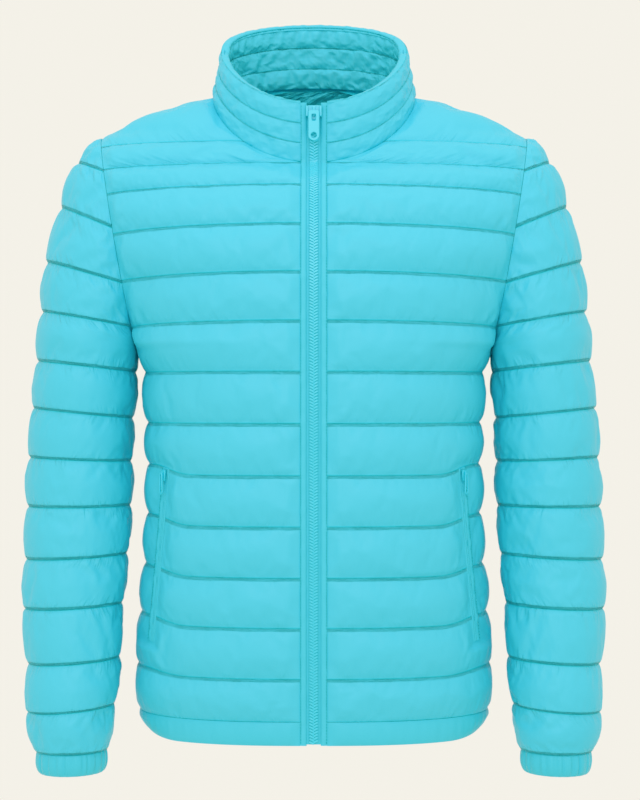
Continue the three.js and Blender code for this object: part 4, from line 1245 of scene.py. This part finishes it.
def turned_to_pocket(piece, sign, lift):
    """Sets a plate made at the origin before the pocket's top, turned to the panel there."""
    z = np.array([POCKET_TOP - POCKET_SLIDER["from_top"]])
    place, normal = pocket_point(z, 0.0, lift)
    turn = math.atan2(normal[0, 0], -normal[0, 1])
    points = read_points(piece).astype(float)
    x = points[:, 0] * math.cos(turn) - points[:, 1] * math.sin(turn)
    y = points[:, 0] * math.sin(turn) + points[:, 1] * math.cos(turn)
    points = np.stack([x, y, points[:, 2]], axis=-1) + place
    points *= np.array([sign, 1, 1])
    write_points(piece, points)
    if sign < 0:
        piece.data.flip_normals()
    return piece


def tube(name, path, radius, sides=8):
    """A closed round loop along a flat path in XZ."""
    path = np.array(path)
    along = unit(np.roll(path, -1, axis=0) - np.roll(path, 1, axis=0))
    side = np.stack([along[:, 2], 0 * along[:, 0], -along[:, 0]], axis=-1)
    rows = []
    for turn in np.linspace(0, 2 * math.pi, sides, endpoint=False):
        rows.append(path + radius * (side * math.cos(turn) + np.array([0, math.sin(turn), 0])))
    return closed_ring_mesh(name, np.stack(rows))


def pocket_slider(name, sign):
    """The slider's plate and bridge, at the top of the pocket's zip."""
    plate = flat_outline(name + "_plate", [POCKET_PLATE], PLATE_THICKNESS, PLATE_BEVEL)
    bridge = upright_block(
        name + "_bridge", POCKET_BRIDGE["half_sizes"], PLATE_BEVEL, [POCKET_BRIDGE["place"]]
    )
    piece = join([plate, bridge], name)
    move(piece, (0, -PLATE_LIFT, 0))
    return turned_to_pocket(piece, sign, POCKET_SLIDER["lift"])


def pocket_pull(name, sign):
    """A moulded loop that hangs from the pocket's slider."""
    outline = arc(0, LOOP["top"], LOOP["top_radius"], 180, 0, 10)
    outline += arc(0, LOOP["end"], LOOP["end_radius"], 0, -180, 14)
    piece = tube(name, [(x, 0.0, z) for x, z in outline], LOOP["radius"])
    move(piece, (0, -PLATE_LIFT, 0))
    return turned_to_pocket(piece, sign, LOOP["lift"])


# Materials

# The shell, the shell darkened by painted shade in its stitched valleys, the bands, both threads and the
# zip
SHELL_COLOUR = (0.092, 0.595, 0.780)
VALLEY_SHADE_COLOUR = (0.055, 0.585, 0.765)
TRIM_COLOUR = (0.085, 0.580, 0.750)
THREAD_COLOUR = (0.004, 0.300, 0.380)
QUILT_THREAD_COLOUR = (0.035, 0.580, 0.760)
ZIP_COLOUR = (0.080, 0.640, 0.820)


def new_material(name, colour, roughness):
    material = bpy.data.materials.new(name)
    material.use_nodes = True
    shader = material.node_tree.nodes["Principled BSDF"]
    shader.inputs["Base Color"].default_value = (*colour, 1)
    shader.inputs["Roughness"].default_value = roughness
    return material, shader


def add_node(tree, kind, output, settings=(), **inputs):
    """A shader node with settings and inputs given or linked; it returns one of its outputs."""
    node = tree.nodes.new("ShaderNode" + kind)
    for name, value in settings:
        setattr(node, name, value)
    for name, value in inputs.items():
        socket = node.inputs[name.replace("_", " ")]
        if isinstance(value, bpy.types.NodeSocket):
            tree.links.new(value, socket)
        else:
            socket.default_value = value
    return node.outputs[output]


def read_attribute(tree, name, output):
    return add_node(tree, "Attribute", output, [("attribute_name", name)])


def noise(tree, place, scale, detail):
    return add_node(tree, "TexNoise", "Fac", Vector=place, Scale=scale, Detail=detail)


def bump(tree, height, strength, distance, **before):
    return add_node(tree, "Bump", "Normal", Strength=strength, Distance=distance, Height=height, **before)


def map_range(tree, value, low, high, to_low=0.0, to_high=1.0):
    return add_node(
        tree, "MapRange", "Result", [("interpolation_type", "SMOOTHSTEP")],
        Value=value, From_Min=low, From_Max=high, To_Min=to_low, To_Max=to_high,
    )


def multiply(tree, first, second):
    node = tree.nodes.new("ShaderNodeMath")
    node.operation = "MULTIPLY"
    tree.links.new(first, node.inputs[0])
    tree.links.new(second, node.inputs[1])
    return node.outputs["Value"]


def puckers(tree, near, pitch, reach):
    """Creases that run away from the stitch lines, in patches, as a height from 0 to 1."""
    place = read_attribute(tree, "quilt_place", "Vector")
    ridge = map_range(tree, noise(tree, place, 1 / pitch, 2), 0.38, 0.66)
    where = map_range(tree, noise(tree, place, 0.2 / pitch, 1), 0.38, 0.62, 0.25, 1.0)
    fade = map_range(tree, near, 0.001, reach, 1.0, 0.0)
    return multiply(tree, multiply(tree, ridge, where), fade)


# Each cloth's colour, its colour darkened by painted shade in the stitched valleys, the puckers' pitch,
# reach and depth, and the height of its fine crinkles. Bands have neither valleys nor rows.
CLOTH_LOOKS = dict(
    front_nylon=(SHELL_COLOUR, VALLEY_SHADE_COLOUR, 0.0045, 0.012, 0.0006, 0.00005),
    shell_nylon=(SHELL_COLOUR, VALLEY_SHADE_COLOUR, 0.0042, 0.016, 0.0012, 0.00008),
    lining_nylon=(TRIM_COLOUR, VALLEY_SHADE_COLOUR, 0.009, 0.030, 0.0018, 0.0006),
    trim_nylon=(TRIM_COLOUR, TRIM_COLOUR, 0.0042, 0.013, 0.0005, 0.0002),
)


def nylon(name):
    """Thin woven nylon: puckered along the stitch lines, with painted shade darkening its colour there, and
    a soft sheen.
    """
    colour, valley_shade, pitch, reach, depth, crinkle = CLOTH_LOOKS[name]
    material, shader = new_material(name, colour, 0.48)
    tree = material.node_tree
    near = read_attribute(tree, "from_line", "Fac")
    place = add_node(tree, "TexCoord", "Object")
    # Painted shade: the base colour turns to the darker valley colour within about a millimetre of each
    # stitch line.
    valley_shaded = add_node(
        tree, "Mix", "Result", [("data_type", "RGBA")], A=(*valley_shade, 1), B=(*colour, 1),
        Factor=map_range(tree, near, 0.0001, 0.0012),
    )
    tree.links.new(valley_shaded, shader.inputs["Base Color"])
    soft = bump(tree, noise(tree, place, 60, 3), 0.5, crinkle)
    creased = bump(tree, puckers(tree, near, pitch, reach), 0.8, depth, Normal=soft)
    weave = bump(tree, noise(tree, place, 2400, 1), 0.12, 0.0001, Normal=creased)
    tree.links.new(weave, shader.inputs["Normal"])
    for socket, value in (("Specular IOR Level", 0.2), ("Sheen Weight", 0.05), ("Sheen Roughness", 0.35)):
        shader.inputs[socket].default_value = value
    return material


def cover(piece, material):
    piece.data.materials.clear()
    piece.data.materials.append(material)


front_shell, shell, lining, trim = (nylon(name) for name in CLOTH_LOOKS)
thread, _ = new_material("thread", THREAD_COLOUR, 0.6)
quilt_thread, _ = new_material("quilt_thread", QUILT_THREAD_COLOUR, 0.6)
plastic, _ = new_material("zip_plastic", ZIP_COLOUR, 0.34)


# The jacket

def dress(piece, nodes, material, body=BODY):
    """Gives a finished piece its material and its body, and hides the solid nodes it stands for."""
    cover(piece, material)
    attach(piece, body)
    if nodes:
        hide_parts(*nodes)
    return piece


SIDES = (("left", -1), ("right", 1))
panels = [
    body_panel("front_left_shell", True, -1, 11, FRONT_CLOTH),
    body_panel("front_right_shell", True, 1, 23, FRONT_CLOTH),
    body_panel("back_shell", False, 1, 31, BACK_CLOTH),
    sleeve_panel("sleeve_left_shell", -1, 41),
    sleeve_panel("sleeve_right_shell", 1, 53),
    collar_panel("collar_shell", False, 67),
    collar_panel("collar_facing_cloth", True, 79),
    lining_panel("back_neck_lining_cloth", 83),
]
run_cloth([panel["piece"] for panel in panels])
for panel in panels:
    panel["done"] = finish_panel(panel)

# One row for each panel: the solid node it stands for, its material and its slot
PANEL_LOOKS = (
    ("front_left", front_shell, "shell"), ("front_right", front_shell, "shell"),
    ("back", front_shell, "shell"), ("sleeve_left", shell, "shell"), ("sleeve_right", shell, "shell"),
    ("collar", front_shell, "shell"), ("collar_facing", lining, "lining"),
    ("back_neck_lining", lining, "lining"),
)
for panel, (node, material, slot) in zip(panels, PANEL_LOOKS):
    dress(panel["done"], [node], material)

# The quilted lines that have thread: panel, first and last line, and the two ends of a line.
THREADED = (
    (0, 1, 13, (0.01, 0.985)), (1, 1, 13, (0.01, 0.985)), (2, 1, 14, (-0.985, 0.985)),
    (3, 1, 12, (0.01, 0.99)), (4, 1, 12, (0.01, 0.99)),
    (5, 1, 2, (COLLAR_START + 0.01, COLLAR_END - 0.01)),
    (6, 1, 2, (COLLAR_START + 0.01, COLLAR_END - 0.01)),
)
for number, first, last, ends in THREADED:
    panel = panels[number]
    sewn = quilt_stitches(
        panel["name"] + "_stitches", panel, range(first, last + 1), ends,
        clear_of_pocket if number < 2 else None,
    )
    dress(sewn, [], quilt_thread)

dress(collar_rim("collar_rim"), [], trim)
dress(rim_stitches("collar_rim_stitches"), [], thread)
dress(hem_band("hem_back_band", False, 1, 91), ["hem_back"], trim)
for side, sign in SIDES:
    dress(hem_band(f"hem_front_{side}_band", True, sign, 93 + sign), [f"hem_front_{side}"], trim)
    dress(cuff(f"cuff_{side}_band", sign, 101 + sign), [f"cuff_{side}"], trim)
    dress(placket(f"placket_{side}_strip", sign), [f"placket_{side}"], trim)
    dress(placket_stitches(f"placket_{side}_stitches", sign), [], thread)
    dress(zip_tape(f"zip_tape_{side}_cloth", sign), [f"zip_tape_{side}"], trim)
    dress(pocket_zip(f"pocket_zip_{side}_welt", sign), [f"pocket_zip_{side}"], trim)
    dress(pocket_stitches(f"pocket_{side}_stitches", sign), [], thread)
    dress(pocket_slider(f"pocket_slider_{side}_metal", sign), [f"pocket_slider_{side}"], plastic)
    dress(pocket_pull(f"pocket_pull_{side}_loop", sign), [f"pocket_pull_{side}"], plastic)
dress(zip_teeth(), ["zip_chain"], plastic)
dress(zip_slider(), ["zip_slider"], plastic)
dress(zip_pull(), ["zip_pull"], plastic, PULL_BODY)


# Light, floor and camera

def area_light(name, place, aim, size, power, colour=(1, 1, 1)):
    data = bpy.data.lights.new(name, "AREA")
    data.shape = "DISK"
    data.size = size
    data.energy = power
    data.color = colour
    light = new_object(name, data)
    light.location = place
    light.rotation_euler = (Vector(aim) - Vector(place)).to_track_quat("-Z", "Y").to_euler()


MIDDLE = (0.0, 0.0, -0.30)
BACKDROP_COLOUR = (0.905, 0.880, 0.807)
FLOOR = dict(radius=2, z=-1.9, sides=96, colour=(0.84, 0.81, 0.74))
CAMERA = dict(sensor=36, lens=94.3, place=(0.0063, -2.2, -0.308))

area_light("front_soft_light", (-0.15, -2.6, 0.9), MIDDLE, 1.8, 17, (1.0, 1.0, 1.12))
area_light("top_soft_light", (0.0, -0.6, 1.9), MIDDLE, 1.6, 7)

world = bpy.data.worlds.new("studio")
world.use_nodes = True
backdrop = world.node_tree.nodes["Background"]
backdrop.inputs["Color"].default_value = (*BACKDROP_COLOUR, 1)
backdrop.inputs["Strength"].default_value = 1.0
bpy.context.scene.world = world
bpy.context.scene.view_settings.view_transform = "Standard"
bpy.context.scene.view_settings.look = "None"

# How the picture answers to light in each channel, as (scene value, picture value): shade on the
# cloth keeps less red and a little more green, and the backdrop stays as it is.
RESPONSE = {
    "red": ((0.020, 0.005), (0.045, 0.018), (0.100, 0.082), (0.130, 0.130), (0.500, 0.500)),
    "green": ((0.200, 0.240), (0.386, 0.430), (0.479, 0.515), (0.590, 0.603), (0.690, 0.693)),
}


def picture_response():
    """The compositor's colour curves, straight between the points above."""
    scene = bpy.context.scene
    scene.use_nodes = True
    tree = scene.node_tree
    tree.nodes.clear()
    layers = tree.nodes.new("CompositorNodeRLayers")
    curves = tree.nodes.new("CompositorNodeCurveRGB")
    output = tree.nodes.new("CompositorNodeComposite")
    for channel, points in zip(curves.mapping.curves, (RESPONSE["red"], RESPONSE["green"])):
        for scene_value, picture_value in points:
            channel.points.new(scene_value, picture_value)
        for point in channel.points:
            point.handle_type = "VECTOR"
    curves.mapping.update()
    tree.links.new(layers.outputs["Image"], curves.inputs["Image"])
    tree.links.new(curves.outputs["Image"], output.inputs["Image"])


picture_response()

turns = np.linspace(0, 2 * math.pi, FLOOR["sides"], endpoint=False)
disk = np.stack([np.cos(turns), np.sin(turns), np.full_like(turns, FLOOR["z"] / FLOOR["radius"])], axis=-1)
floor = mesh_object("floor", FLOOR["radius"] * disk, [range(FLOOR["sides"])])
floor_material, _ = new_material("floor_cream", FLOOR["colour"], 0.9)
cover(floor, floor_material)

camera_data = bpy.data.cameras.new("camera")
camera_data.sensor_width = CAMERA["sensor"]
camera_data.lens = CAMERA["lens"]
camera = new_object("camera", camera_data)
camera.location = CAMERA["place"]
camera.rotation_euler = (math.pi / 2, 0, 0)
bpy.context.scene.camera = camera
